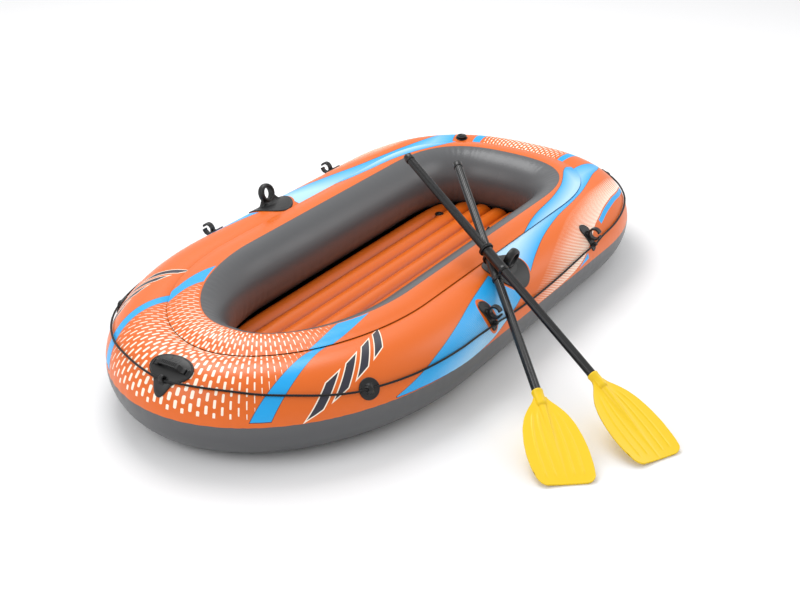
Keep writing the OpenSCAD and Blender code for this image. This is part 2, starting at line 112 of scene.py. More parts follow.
STATIONS = np.linspace(0, LAST_STATION, 14001)
LINE_X, LINE_Y = station_line(STATIONS)
ARC = np.concatenate([[0], np.cumsum(np.hypot(np.diff(LINE_X), np.diff(LINE_Y)))])
HALF_LOOP = ARC[-1]
_along = np.hypot(np.gradient(LINE_X), np.gradient(LINE_Y))
OUT_X = np.gradient(LINE_Y) / _along
OUT_Y = -np.gradient(LINE_X) / _along
OUT_X[0], OUT_Y[0] = 1, 0
OUT_X[-1], OUT_Y[-1] = -1, 0


def arc_of(station):
    """Distance along the centre line from the bow tip to a station."""
    return float(np.interp(station, STATIONS, ARC))


def line_at(arc):
    """Centre line point and outward direction at a distance from the bow tip, port positive."""
    arc = (np.asarray(arc, float) + HALF_LOOP) % (2 * HALF_LOOP) - HALF_LOOP
    side = np.where(arc < 0, -1.0, 1.0)
    a = np.abs(arc)
    point = np.stack([np.interp(a, ARC, LINE_X), side * np.interp(a, ARC, LINE_Y)], -1)
    out = np.stack([np.interp(a, ARC, OUT_X), side * np.interp(a, ARC, OUT_Y)], -1)
    return point, out / np.linalg.norm(out, axis=-1, keepdims=True)


def place(arc, u, z):
    """Points at a distance u outwards from the outer tube's centre line, and at height z."""
    point, out = line_at(arc)
    flat = point + out * np.asarray(u, float)[..., None]
    return np.concatenate([flat, np.broadcast_to(np.asarray(z, float), flat.shape[:-1])[..., None]], -1)


def on_tube(arc, elevation, lift=0.0):
    """Points on the outer tube at an elevation in degrees, lifted off its surface."""
    e = np.radians(elevation)
    return place(arc, (TUBE_R + lift) * np.cos(e), TUBE_R + (TUBE_R + lift) * np.sin(e))


def step_in(arc):
    """Distance from the outer tube's centre to the inner tube's, larger at the bow."""
    out_x = line_at(arc)[1][..., 0]
    return TUBE_STEP + BOW_EXTRA * np.maximum(0, out_x) ** 2


def curving(arc):
    """1 round the bow and the stern, falling to 0 along the straight sides."""
    a = np.abs((np.asarray(arc, float) + HALF_LOOP) % (2 * HALF_LOOP) - HALF_LOOP)
    bow = np.clip((0.75 - a) / 0.35, 0, 1)
    stern = np.clip((a - 1.55) / 0.25, 0, 1)
    return np.maximum(bow, stern)


def ripples(along, wave, shift=0.0):
    """Uneven soft folds along a line, from 0 to 1."""
    t = 2 * pi * (along + shift) / wave
    return (0.5 + 0.5 * np.sin(t + 1.7 * np.sin(t / 5.3) + 1.1 * np.sin(t / 2.9 + 1))) ** 2


# ---------------------------------------------------------------- grab rope

ROPE_R = 0.003
EYE_LIFT = 0.007
EYE_REACH = 0.012
KNOT_LENGTH = 0.022
KNOT_R = 0.007
# Eyes that hold the rope: station and elevation of the bow handle, holders and oar clips
EYES = [(0, 45), (55, 27), (102.5, 23.5), (182, 23.5), (246, 31)]
# Free points between the eyes: station, elevation and lift in millimetres
ROPE_ROUTE = [
    [(5, 46, 9), (11, 47, 6), (20, 46, 5), (28, 42, 5), (36, 38, 5), (43, 33, 5), (49, 29, 6)],
    [(61, 26, 6), (68, 25, 5), (76, 25, 5), (84, 25, 5), (91, 25, 5), (98, 24, 6)],
    [(112, 21, 6), (120, 19, 5), (129, 18, 5), (140, 18, 5), (152, 19, 5), (164, 21, 5), (175, 23, 6)],
    [(189, 26, 6), (199, 28, 5), (210, 30, 5), (222, 31, 5), (233, 32, 5), (241, 32, 6)],
    [(251, 29, 6), (258, 27, 5), (266, 25, 5), (273, 24, 5), (277, 24, 5)],
]
KNOT_ELEVATION = 24


def eye_point(eye, reach):
    """Where the rope enters or leaves an eye, in line with its hole."""
    arc = arc_of(eye[0])
    out = line_at(arc)[1]
    return on_tube(arc, eye[1], EYE_LIFT) + reach * np.array([-out[1], out[0], 0])


def rope_route():
    """The rope's points all the way round, from the knot and back to it."""
    half = []
    for k, stretch in enumerate(ROPE_ROUTE):
        if k:
            half.append(eye_point(EYES[k], -EYE_REACH))
        half.append(eye_point(EYES[k], EYE_REACH))
        half += [on_tube(arc_of(s), e, lift * MM) for s, e, lift in stretch]
    end = on_tube(HALF_LOOP, KNOT_ELEVATION, KNOT_R + 0.001) + np.array([0, KNOT_LENGTH / 2, 0])
    flip = np.array([1, -1, 1])
    return [end * flip, *[p * flip for p in reversed(half)], *half, end]


def smooth_route(points, step):
    """A centripetal Catmull-Rom curve through the points, sampled at even steps."""
    p = np.array([2 * points[0] - points[1], *points, 2 * points[-1] - points[-2]])
    out = []
    for i in range(1, len(p) - 2):
        gaps = [sqrt(np.linalg.norm(p[i + k] - p[i + k - 1])) for k in range(3)]
        t0, t1 = 0.0, gaps[0]
        t2 = t1 + gaps[1]
        t3 = t2 + gaps[2]
        t = np.linspace(t1, t2, 24, endpoint=False)[:, None]
        a1 = (t1 - t) / (t1 - t0) * p[i - 1] + (t - t0) / (t1 - t0) * p[i]
        a2 = (t2 - t) / (t2 - t1) * p[i] + (t - t1) / (t2 - t1) * p[i + 1]
        a3 = (t3 - t) / (t3 - t2) * p[i + 1] + (t - t2) / (t3 - t2) * p[i + 2]
        b1 = (t2 - t) / (t2 - t0) * a1 + (t - t0) / (t2 - t0) * a2
        b2 = (t3 - t) / (t3 - t1) * a2 + (t - t1) / (t3 - t1) * a3
        out.append((t2 - t) / (t2 - t1) * b1 + (t - t1) / (t2 - t1) * b2)
    line = np.concatenate([*out, p[-2:-1]])
    along = np.concatenate([[0], np.cumsum(np.linalg.norm(np.diff(line, axis=0), axis=1))])
    even = np.linspace(0, along[-1], int(along[-1] / step) + 1)
    return np.stack([np.interp(even, along, line[:, k]) for k in range(3)], -1), along[-1]


# ---------------------------------------------------------------- mesh helpers


def finish_mesh(bm, name):
    """Turn a bmesh into an object with its place in its mesh."""
    mesh = bpy.data.meshes.new(name)
    bm.to_mesh(mesh)
    bm.free()
    obj = bpy.data.objects.new(name, mesh)
    bpy.context.collection.objects.link(obj)
    mesh.shade_smooth()
    return obj


def move_verts(bm, positions):
    """Put a bmesh's vertices at an array of positions."""
    for v, p in zip(bm.verts, positions):
        v.co = p


def coords(bm):
    """A bmesh's vertex positions as an array."""
    return np.array([v.co[:] for v in bm.verts])


def unit_grid(bm, along, across):
    """A grid whose x and y run from 0 to 1."""
    bmesh.ops.create_grid(bm, x_segments=along, y_segments=across, size=0.5)
    co = coords(bm)
    low, high = co.min(0), co.max(0)
    co[:, :2] = (co[:, :2] - low[:2]) / (high[:2] - low[:2])
    return co


def lathe(bm, profile, segments=48, axis="Z"):
    """A closed solid turned from (radius, height) points that start and end on the axis or join up."""
    verts = [bm.verts.new((r, 0, z)) for r, z in profile]
    closed = profile[0][0] > 0 and profile[-1][0] > 0
    pairs = zip(verts, verts[1:] + verts[:1]) if closed else zip(verts, verts[1:])
    edges = [bm.edges.new(pair) for pair in pairs]
    made = bmesh.ops.spin(
        bm, geom=verts + edges, cent=(0, 0, 0), axis=(0, 0, 1), angle=2 * pi, steps=segments, use_merge=True
    )
    new = set(verts) | {g for g in made["geom_last"] if isinstance(g, bmesh.types.BMVert)}
    for v in list(new):
        stack = [v]
        while stack:
            at = stack.pop()
            for e in at.link_edges:
                other = e.other_vert(at)
                if other not in new:
                    new.add(other)
                    stack.append(other)
    bmesh.ops.remove_doubles(bm, verts=[v for v in new if v.is_valid], dist=1e-6)
    new = [v for v in new if v.is_valid]
    faces = {f for v in new for f in v.link_faces}
    bmesh.ops.recalc_face_normals(bm, faces=list(faces))
    if axis != "Z":
        turn = Matrix.Rotation(pi / 2, 3, "Y") if axis == "X" else Matrix.Rotation(-pi / 2, 3, "X")
        bmesh.ops.rotate(bm, verts=new, cent=(0, 0, 0), matrix=turn)
    return new


def shift(bm, verts, *by):
    """Move some vertices."""
    bmesh.ops.translate(bm, verts=verts, vec=by)
    return verts


def block(bm, size, at, bevel=0.0, taper=1.0):
    """A box with rounded edges; taper scales its top in x and y."""
    made = bmesh.ops.create_cube(bm, size=1)["verts"]
    bmesh.ops.scale(bm, verts=made, vec=size)
    top = [v for v in made if v.co.z > 0]
    bmesh.ops.scale(bm, verts=top, vec=(taper, taper, 1))
    bmesh.ops.translate(bm, verts=made, vec=at)
    if bevel:
        edges = list({e for v in made for e in v.link_edges})
        bmesh.ops.bevel(bm, geom=edges, offset=bevel, segments=2, affect="EDGES", profile=0.5, material=-1)


def plate(bm, outline, z0, z1):
    """A flat plate from an outline of (x, y) points."""
    face = bm.faces.new([bm.verts.new((x, y, z0)) for x, y in outline])
    up = bmesh.ops.extrude_face_region(bm, geom=[face])["geom"]
    top = [g for g in up if isinstance(g, bmesh.types.BMVert)]
    bmesh.ops.translate(bm, verts=top, vec=(0, 0, z1 - z0))
    bmesh.ops.recalc_face_normals(bm, faces=bm.faces[:])


def bar(bm, points, width, thickness):
    """A flat bar that runs through (x, z) points, its width along y."""
    for (x0, z0), (x1, z1) in zip(points, points[1:]):
        length = hypot(x1 - x0, z1 - z0)
        slope = Matrix.Rotation(-atan2(z1 - z0, x1 - x0), 3, "Y")
        made = bmesh.ops.create_cube(bm, size=1)["verts"]
        bmesh.ops.scale(bm, verts=made, vec=(length + thickness * 0.8, width, thickness))
        bmesh.ops.rotate(bm, verts=made, cent=(0, 0, 0), matrix=slope)
        bmesh.ops.translate(bm, verts=made, vec=((x0 + x1) / 2, 0, (z0 + z1) / 2))


def applied(obj):
    """Apply an object's modifiers to its mesh."""
    graph = bpy.context.evaluated_depsgraph_get()
    mesh = bpy.data.meshes.new_from_object(obj.evaluated_get(graph))
    obj.modifiers.clear()
    old = obj.data
    obj.data = mesh
    bpy.data.meshes.remove(old)


def moulded(name, solid, cutter=None, voxel=0.9 * MM, rounds=4):
    """Melt overlapping shapes into one soft-edged moulding, cut what the cutter holds out of it."""
    obj = finish_mesh(solid, name)
    remesh = obj.modifiers.new("melt", "REMESH")
    remesh.mode = "VOXEL"
    remesh.voxel_size = voxel
    cut = None
    if cutter is not None:
        cut = finish_mesh(cutter, name + "_cut")
        boolean = obj.modifiers.new("cut", "BOOLEAN")
        boolean.object = cut
        boolean.operation = "DIFFERENCE"
        boolean.solver = "EXACT"
        boolean.use_self = True
        again = obj.modifiers.new("melt_again", "REMESH")
        again.mode = "VOXEL"
        again.voxel_size = voxel
    ease = obj.modifiers.new("ease", "SMOOTH")
    ease.factor = 0.5
    ease.iterations = rounds
    applied(obj)
    if cut is not None:
        bpy.data.objects.remove(cut)
    obj.data.shade_smooth()
    return obj


def tube_frame(arc, elevation):
    """Origin and axes on the outer tube: x down its outer side, y along it, z outwards."""
    out = line_at(arc)[1]
    e = radians(elevation)
    origin = on_tube(arc, elevation)
    x = np.array([sin(e) * out[0], sin(e) * out[1], -cos(e)])
    y = np.array([-out[1], out[0], 0])
    z = np.array([cos(e) * out[0], cos(e) * out[1], sin(e)])
    return origin, x, y, z


def off_tube(points, arc):
    """Distance of points from the outer tube's surface, near a place on it."""
    near = arc + np.linspace(-0.16, 0.16, 161)
    line = place(near, np.zeros_like(near), TUBE_R)
    gaps = np.linalg.norm(points[:, None, :] - line[None], axis=-1)
    return gaps.min(1) - TUBE_R


def lay_on_tube(obj, arc, elevation, rigid_from=5 * MM, rigid_at=12 * MM):
    """Drape a moulding, made flat, over the outer tube; what stands above rigid_at keeps its shape."""
    origin, x, y, z = tube_frame(arc, elevation)
    co = np.array([v.co[:] for v in obj.data.vertices])
    flat = origin + co[:, :1] * x + co[:, 1:2] * y
    drop = np.zeros(len(co))
    for _ in range(5):
        drop -= off_tube(flat + drop[:, None] * z, arc)
    share = np.clip((co[:, 2] - rigid_from) / (rigid_at - rigid_from), 0, 1)
    share = share * share * (3 - 2 * share)
    lift = co[:, 2] + drop * (1 - share)
    placed = flat + lift[:, None] * z
    obj.data.vertices.foreach_set("co", placed.astype(np.float32).ravel())
    obj.data.update()
    return obj


def mirrored(obj, name):
    """A starboard copy of a port piece."""
    bm = bmesh.new()
    bm.from_mesh(obj.data)
    bmesh.ops.scale(bm, verts=bm.verts[:], vec=(1, -1, 1))
    bmesh.ops.recalc_face_normals(bm, faces=bm.faces[:])
    return finish_mesh(bm, name)


def dress(obj, body, slot, material, *nodes):
    """Ride on a body, take a material, and stand for CAD nodes; the slot argument is not used."""
    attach(obj, body)
    if nodes:
        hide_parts(*nodes)
    obj.data.materials.clear()
    obj.data.materials.append(material)
    return obj

# ---------------------------------------------------------------- materials


def colour(red, green, blue):
    """A screen colour from 0 to 255, as the shader's linear one."""
    screen = (red, green, blue)
    return tuple(((c / 255 + 0.055) / 1.055) ** 2.4 if c > 10 else c / 255 / 12.92 for c in screen) + (1,)


ORANGE = colour(226, 103, 14)
GREY = colour(86, 87, 89)
BLUE = colour(6, 166, 236)
PALE_BLUE = colour(190, 228, 250)
CREAM = colour(255, 244, 226)
NAVY = colour(44, 44, 58)
BLACK = colour(13, 13, 14)
YELLOW = colour(245, 205, 16)


class Field:
    """A number that varies over a surface, worked out by Math nodes."""

    def __init__(self, tree, source):
        self.tree, self.source = tree, source

    def math(self, operation, *others, clamp=False):
        node = self.tree.nodes.new("ShaderNodeMath")
        node.operation = operation
        node.use_clamp = clamp
        for k, value in enumerate((self, *others)):
            if isinstance(value, Field):
                self.tree.links.new(value.source, node.inputs[k])
            else:
                node.inputs[k].default_value = value
        return Field(self.tree, node.outputs[0])

    def __add__(self, other):
        return self.math("ADD", other)

    def __sub__(self, other):
        return self.math("SUBTRACT", other)

    def __mul__(self, other):
        return self.math("MULTIPLY", other)

    def __truediv__(self, other):
        return self.math("DIVIDE", other)

    def __rsub__(self, other):
        return (self * -1) + other

    __radd__ = __add__
    __rmul__ = __mul__

    def within(self, soft):
        """1 where the number is above 0, 0 below it, with a soft edge."""
        return self.math("MULTIPLY_ADD", 1 / soft, 0.5, clamp=True)

    def share(self, low, high):
        """0 at low, 1 at high, and straight between them."""
        return self.math("MULTIPLY_ADD", 1 / (high - low), -low / (high - low), clamp=True)

    def through(self, points):
        """A smooth curve of this number through (number, value) points."""
        low, high = points[0][0], points[-1][0]
        top = max(v for _, v in points) or 1
        node = self.tree.nodes.new("ShaderNodeFloatCurve")
        curve = node.mapping.curves[0]
        places = [((n - low) / (high - low), v / top) for n, v in points]
        curve.points[0].location = places[0]
        curve.points[1].location = places[-1]
        for place_at in places[1:-1]:
            curve.points.new(*place_at)
        node.mapping.update()
        self.tree.links.new(self.share(low, high).source, node.inputs["Value"])
        return Field(self.tree, node.outputs[0]) * top

    def both(self, other):
        return self.math("MINIMUM", other)

    def either(self, other):
        return self.math("MAXIMUM", other)


class Finish:
    """A material's node tree with the few nodes that all finishes share."""

    def __init__(self, name, base, roughness, specular=0.5):
        self.material = bpy.data.materials.new(name)
        self.material.use_nodes = True
        self.tree = self.material.node_tree
        self.shader = self.tree.nodes["Principled BSDF"]
        self.shader.inputs["Roughness"].default_value = roughness
        self.shader.inputs["Specular IOR Level"].default_value = specular
        self.coordinates = self.tree.nodes.new("ShaderNodeTexCoord")
        colour_node = self.tree.nodes.new("ShaderNodeRGB")
        colour_node.outputs[0].default_value = base
        self.paint = colour_node.outputs[0]
        self.height = None

    def uv(self):
        """The two numbers of the piece's own map."""
        split = self.tree.nodes.new("ShaderNodeSeparateXYZ")
        self.tree.links.new(self.coordinates.outputs["UV"], split.inputs[0])
        return Field(self.tree, split.outputs[0]), Field(self.tree, split.outputs[1])

    def grain(self, scale, detail=3.0, stretch=None, roughness=0.5):
        """Noise over the object, from 0 to 1."""
        node = self.tree.nodes.new("ShaderNodeTexNoise")
        node.inputs["Scale"].default_value = scale
        node.inputs["Detail"].default_value = detail
        node.inputs["Roughness"].default_value = roughness
        source = self.coordinates.outputs["Object"]
        if stretch is not None:
            mapping = self.tree.nodes.new("ShaderNodeMapping")
            mapping.inputs["Scale"].default_value = stretch
            self.tree.links.new(source, mapping.inputs[0])
            source = mapping.outputs[0]
        self.tree.links.new(source, node.inputs["Vector"])
        return Field(self.tree, node.outputs["Fac"])

    def over(self, where, paint):
        """Lay a colour over the paint, where a field is 1."""
        mix = self.tree.nodes.new("ShaderNodeMix")
        mix.data_type = "RGBA"
        self.tree.links.new(where.source, mix.inputs[0])
        self.tree.links.new(self.paint, mix.inputs[6])
        if isinstance(paint, tuple):
            mix.inputs[7].default_value = paint
        else:
            self.tree.links.new(paint, mix.inputs[7])
        self.paint = mix.outputs[2]

    def blend_of(self, where, low, high):
        """A colour between two others."""
        mix = self.tree.nodes.new("ShaderNodeMix")
        mix.data_type = "RGBA"
        self.tree.links.new(where.source, mix.inputs[0])
        mix.inputs[6].default_value = low
        mix.inputs[7].default_value = high
        return mix.outputs[2]

    def raise_by(self, field):
        """Add to the bump height."""
        self.height = field if self.height is None else self.height + field

    def done(self, bump=0.3, distance=0.0005, rough=None):
        """Join paint, roughness and bump to the shader."""
        self.tree.links.new(self.paint, self.shader.inputs["Base Color"])
        if rough is not None:
            self.tree.links.new(rough.source, self.shader.inputs["Roughness"])
        if self.height is not None:
            node = self.tree.nodes.new("ShaderNodeBump")
            node.inputs["Strength"].default_value = bump
            node.inputs["Distance"].default_value = distance
            self.tree.links.new(self.height.source, node.inputs["Height"])
            self.tree.links.new(node.outputs[0], self.shader.inputs["Normal"])
        return self.material


def vinyl_surface(finish, base_roughness):
    """Satin film: a fine pebble, faint stretch marks and patches of duller sheen."""
    finish.raise_by(finish.grain(900, 2) * 0.25)
    finish.raise_by(finish.grain(60, 3, (1, 1, 0.4)) * 0.6)
    patches = finish.grain(7, 4)
    return patches * 0.16 + (base_roughness - 0.08)


def dashes(along, around, size, pitch_a, pitch_t, length):
    """Rounded dashes in brick layout, as wide as size says."""
    column = (along / pitch_a).math("FLOOR")
    row = around / pitch_t + column.math("MODULO", 2) * 0.5
    across = ((along / pitch_a).math("FRACT") - 0.5).math("ABSOLUTE") * pitch_a
    down = (row.math("FRACT") - 0.5).math("ABSOLUTE") * pitch_t
    past = (down - (length / 2 - size * 0.5)).math("MAXIMUM", 0.0)
    distance = (across * across + past * past).math("SQRT")
    return (size * 0.5 - distance).within(0.0007)


# Bands printed on the outer tube: elevation in degrees over distance from the bow tip in metres
LOWER_SEAM = 3.0
SIDE_SWOOSH_TOP = [(0.475, 6), (0.55, 21), (0.623, 36), (0.771, 59), (0.95, 79), (1.03, 88)]
SIDE_SWOOSH_BOTTOM = [(0.475, 5), (0.54, 4.5), (0.78, 4.5), (0.895, 15), (1.03, 34)]
LONG_SWOOSH_EDGE = [(1.09, 47), (1.206, 69), (1.336, 86), (1.5, 99), (1.64, 102), (1.75, 96)]
LONG_SWOOSH_EDGE += [(1.85, 72), (1.95, 20)]
LINES_TOP = [(1.06, 14), (1.218, 43), (1.344, 64), (1.5, 83), (1.62, 88), (1.72, 78), (1.83, 44)]
LINES_BOTTOM = [(1.06, 4.5), (1.242, 5), (1.32, 9), (1.412, 24), (1.54, 51), (1.64, 58)]
LINES_BOTTOM += [(1.72, 52), (1.83, 26)]
LOCK_STATION = 129
LOCK_ARC = arc_of(LOCK_STATION)
LOCK_ELEVATION = 72
LOCK_PAD_R = 0.070
CLIP_ELEVATION = 37
CLIP_STATIONS = (102.5, 182)
PRINT_EDGE_T = 0.35
PRINT_EDGE_A = 0.0008


def outer_print(finish):
    """The printed pattern of the outer tube; it is the same on both sides."""
    signed, around = finish.uv()
    a = signed.math("ABSOLUTE")
    t = around * degrees(1 / TUBE_R)
    soft_t, soft_a = PRINT_EDGE_T, PRINT_EDGE_A
    # Bow: dashes between two blue stripes
    edge = t * t * 0.000009 + t * 0.00055 + 0.165
    to_edge = (edge - a) / edge
    low_end = t.share(8, 40)
    size = to_edge.math("MAXIMUM", 0.0).math("POWER", 0.6).both(low_end * 0.45 + 0.55) * 0.0085
    field = dashes(a, around, size, 0.0145, 0.031, 0.021)
    finish.over(field.both((t - 14).within(soft_t)).both(to_edge.within(0.02)), CREAM)
    stripe = (a - edge).within(soft_a).both((edge + 0.038 - a).within(soft_a))
    stripe = stripe.both((t - 10).within(soft_t))
    rim = (a - edge + 0.0014).within(soft_a).both((edge + 0.0394 - a).within(soft_a))
    rim = rim.both((t - 9).within(soft_t))
    finish.over(rim.both((150 - t).within(soft_t)), NAVY)
    finish.over(stripe.both((150 - t).within(soft_t)), BLUE)
    # Slanted bars behind the bow stripe, white with dark cores
    slant = a - (around - 0.11) * 0.62
    climb = around - (a - 0.41) * 0.62
    step = (slant - 0.327).math("MODULO", 0.037)
    row_of_bars = (slant - 0.327).within(soft_a).both((0.327 + 0.148 - slant).within(soft_a))
    for half, margin, paint in ((0.0135, 0.028, CREAM), (0.0105, 0.025, NAVY)):
        core = (half - (step - 0.0185).math("ABSOLUTE")).within(soft_a)
        core = core.both((margin - (climb - 0.122).math("ABSOLUTE")).within(soft_a))
        finish.over(core.both(row_of_bars), paint)
    # Side swoosh: blue at its upper edge, fading through fine dots to white
    top, bottom = a.through(SIDE_SWOOSH_TOP), a.through(SIDE_SWOOSH_BOTTOM)
    inside = (top - t).within(soft_t).both((t - bottom).within(soft_t))
    inside = inside.both((a - 0.476).within(soft_a)).both((1.012 - a).within(soft_a))
    outline = (top - t + 0.7).within(soft_t).both((t - bottom + 0.7).within(soft_t))
    outline = outline.both((a - 0.474).within(soft_a)).both((1.0132 - a).within(soft_a))
    up_from_lock = (t - LOCK_ELEVATION) / degrees(1 / TUBE_R)
    from_lock = ((a - LOCK_ARC).math("POWER", 2.0) + up_from_lock.math("POWER", 2.0)).math("SQRT")
    clear = (from_lock - LOCK_PAD_R - 0.007).within(soft_a)
    for station in CLIP_STATIONS:
        along = ((a - arc_of(station)) / 0.028).math("POWER", 2.0)
        across = ((t - CLIP_ELEVATION) / 26).math("POWER", 2.0)
        clear = clear.both((along + across - 1).within(0.05))
    finish.over(outline.both(clear), NAVY)
    fade = (top - t).share(8, 46) * a.share(0.5, 0.62) * (1 - a.share(0.9, 1.0)) * 0.6
    weave = ((a + around) * 900).math("SINE") * ((a - around) * 900).math("SINE")
    dots = (weave * 0.5 + 0.5) - (1 - fade)
    finish.over(inside.both(clear), BLUE)
    finish.over(inside.both(clear).both(dots.within(0.3)), PALE_BLUE)
    # Long swoosh, from the oarlock round to the stern corner
    edge_t = a.through(LONG_SWOOSH_EDGE)
    end = 1.905 - (t - 60) * 0.0006
    long_one = (t - edge_t).within(soft_t).both((end - a).within(soft_a))
    long_one = long_one.both((a - 1.092).within(soft_a))
    rim = (t - edge_t + 0.7).within(soft_t).both((end + 0.0012 - a).within(soft_a))
    rim = rim.both((a - 1.0905).within(soft_a))
    finish.over(rim.both(clear), NAVY)
    rise = (t - edge_t).share(0, 30)
    glow = finish.blend_of(rise.both(1 - a.share(1.74, 1.89)) * 0.85, BLUE, PALE_BLUE)
    finish.over(long_one.both(clear), glow)
    # Fine pale lines round the aft clip, with a thin blue stripe below them
    top, bottom = a.through(LINES_TOP), a.through(LINES_BOTTOM)
    inside = (top - t).within(9).both((t - bottom).within(soft_t)).both((a - 1.06).within(soft_a))
    inside = inside.both((1.83 - a).within(0.03))
    strength = ((top - t) / (top - bottom + 1)).share(0.05, 0.9) * a.share(1.05, 1.3) * 0.8
    wave = ((around + a * 0.35) * 1300).math("SINE") * 0.5 + 0.5
    lines = wave - (1 - strength - a.share(1.55, 1.8) * 0.2)
    finish.over(inside.both(lines.within(0.35)), CREAM)
    stripe = (bottom - t - 2).within(soft_t).both((t - bottom + 9).within(soft_t))
    stripe = stripe.both((a - 1.53).within(soft_a))
    finish.over(stripe.both((1.82 - a).within(soft_a)), BLUE)
    corner = (t - (a - 1.335) * 60 - 6).within(soft_t).both((1.4 - a).within(soft_a))
    finish.over(corner.both(((a - 1.335) * 190 + 6 - t).within(soft_t)), BLUE)
    # Stern: a small field of dashes between two short blue bars
    b = HALF_LOOP - a
    high = (t - 46).within(soft_t).both((114 - t).within(soft_t))
    size = (1 - (b / 0.16)).math("MAXIMUM", 0.0).math("POWER", 0.4) * 0.0068
    field = dashes(b, around, size, 0.0115, 0.021, 0.0145).both(high)
    finish.over(field.both((0.147 - b).within(soft_a)), CREAM)
    slanted = b - (t - 80) * 0.0004
    finish.over((slanted - 0.15).within(soft_a).both((0.178 - slanted).within(soft_a)).both(high), BLUE)
    # The lower half is a separate grey film, welded at the seam
    finish.over((LOWER_SEAM - t).within(soft_t).either((t - 205).within(soft_t)), GREY)
    weld = 1 - ((t - LOWER_SEAM).math("ABSOLUTE") / 3).math("MINIMUM", 1.0)
    finish.raise_by(weld * 2.0)


def outer_film():
    """Orange film with its print, and grey film below the seam."""
    finish = Finish("outer_film", ORANGE, 0.36)
    outer_print(finish)
    return finish.done(0.25, 0.0004, vinyl_surface(finish, 0.36))


INNER_SEAM = 100
BOW_SEAM_DROP = 8
INNER_SWOOSH_END = [(1.16, 40), (1.30, 66), (1.40, 78), (1.50, 84), (1.65, 92), (1.78, 92)]
INNER_SWOOSH_END += [(1.85, 84), (1.89, 60)]


def inner_film():
    """Orange film above the seam with the print carried over, grey film below it."""
    finish = Finish("inner_film", ORANGE, 0.36)
    signed, around = finish.uv()
    a = signed.math("ABSOLUTE")
    t = around * degrees(1 / INNER_R)
    soft_t, soft_a = PRINT_EDGE_T, PRINT_EDGE_A
    edge = (t - 73) * 0.0031 + 0.37
    far = (t - 69) * 0.0045 + 0.434
    to_edge = (edge - a) / edge
    size = to_edge.math("MAXIMUM", 0.0).math("POWER", 0.6) * 0.008
    finish.over(dashes(a, around, size, 0.0145, 0.031, 0.020).both(to_edge.within(0.02)), CREAM)
    finish.over((a - edge + 0.0014).within(soft_a).both((far + 0.0014 - a).within(soft_a)), NAVY)
    finish.over((a - edge).within(soft_a).both((far - a).within(soft_a)), BLUE)
    end = a.through(INNER_SWOOSH_END)
    inside = (end - t).within(soft_t).both((a - 1.16).within(soft_a)).both((1.888 - a).within(soft_a))
    rim = (end - t + 0.9).within(soft_t).both((a - 1.1588).within(soft_a)).both((1.8892 - a).within(soft_a))
    finish.over(rim, NAVY)
    fade = (end - t).share(0, 22).both(1 - a.share(1.72, 1.86)) * 0.85
    finish.over(inside, finish.blend_of(fade, BLUE, PALE_BLUE))
    # A plain margin above the weld, a dark line on it and grey film beyond; the weld dips at the bow
    past = t - INNER_SEAM - (1 - a.share(0.3, 0.75)) * BOW_SEAM_DROP
    finish.over((past + 3.0).within(soft_t), ORANGE)
    finish.over((past + 0.5).within(soft_t), NAVY)
    finish.over(past.within(soft_t), GREY)
    weld = 1 - ((past - 1).math("ABSOLUTE") / 2.5).math("MINIMUM", 1.0)
    finish.raise_by(weld * 1.5)
    # The panels' joint at the middle of the stern
    joint = 1 - ((a - HALF_LOOP).math("ABSOLUTE") / 0.004).math("MINIMUM", 1.0)
    finish.raise_by(joint * past.within(soft_t) * 2.0)
    return finish.done(0.25, 0.0004, vinyl_surface(finish, 0.34))


def plain_vinyl(name, base, roughness):
    """Film of one colour."""
    finish = Finish(name, base, roughness)
    cast = finish.grain(5, 3)
    finish.over(cast.share(0.4, 0.75) * 0.12, tuple(c * 0.75 for c in base[:3]) + (1,))
    return finish.done(0.25, 0.0004, vinyl_surface(finish, roughness))


def moulding(name, base, roughness, pebble=0.5, specular=0.5):
    """Moulded vinyl or plastic: fine spark texture, soft flow marks and scuffs that lighten it."""
    finish = Finish(name, base, roughness, specular)
    scuffs = finish.grain(40, 5, (1, 3, 1), 0.65)
    lighter = tuple(min(1, c * 1.4 + 0.012) for c in base[:3]) + (1,)
    finish.over(scuffs.share(0.58, 0.8) * 0.12, lighter)
    finish.raise_by(finish.grain(1400, 2) * pebble)
    finish.raise_by(finish.grain(90, 3) * pebble)
    return finish.done(0.25, 0.0004, finish.grain(12, 4) * 0.2 + (roughness - 0.1))


def rope_finish():
    """Twisted filament: fine yarns that run with the strands, their raised crests painted lighter as a
    painted highlight.
    """
    finish = Finish("rope_yarn", colour(10, 10, 11), 0.62, 0.3)
    along, around = finish.uv()
    yarns = ((along * 50 + around * 3) * 2 * pi * 3).math("SINE") * 0.5 + 0.5
    # Painted highlight: the yarns' raised crests are painted lighter
    finish.over(yarns * 0.3, colour(34, 34, 36))
    finish.raise_by(yarns * 0.8)
    finish.raise_by(finish.grain(2500, 2) * 0.5)
    finish.shader.inputs["Sheen Weight"].default_value = 0.08
    return finish.done(0.5, 0.0004)


floor_low, floor_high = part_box("floor_cushion")
FLOOR_TOP = floor_high.z
FLOOR_SIDE = 0.001 + sqrt(INNER_R**2 - (INNER_Z - FLOOR_TOP) ** 2)
CHANNELS = 7
CHANNEL_R = 0.040
CHANNEL_PITCH = 2 * (SIDE_Y - TUBE_STEP - FLOOR_SIDE) / CHANNELS


def floor_film():
    """Orange film of the air floor, with painted shade darkening it along the welds between its channels
    and a painted highlight along their crests.
    """
    finish = Finish("floor_film", ORANGE, 0.32)
    _, across = finish.uv()
    lane = ((across / CHANNEL_PITCH + CHANNELS / 2).math("FRACT") - 0.5).math("ABSOLUTE")
    # Painted shade: darker in the hollows along the welds
    finish.over(lane.share(0.3, 0.5).math("POWER", 2.0) * 0.75, colour(132, 44, 10))
    # Painted highlight: lighter along the channels' crests
    finish.over((1 - lane.share(0.0, 0.28)) * 0.2, colour(250, 134, 62))
    return finish.done(0.25, 0.0004, vinyl_surface(finish, 0.32))


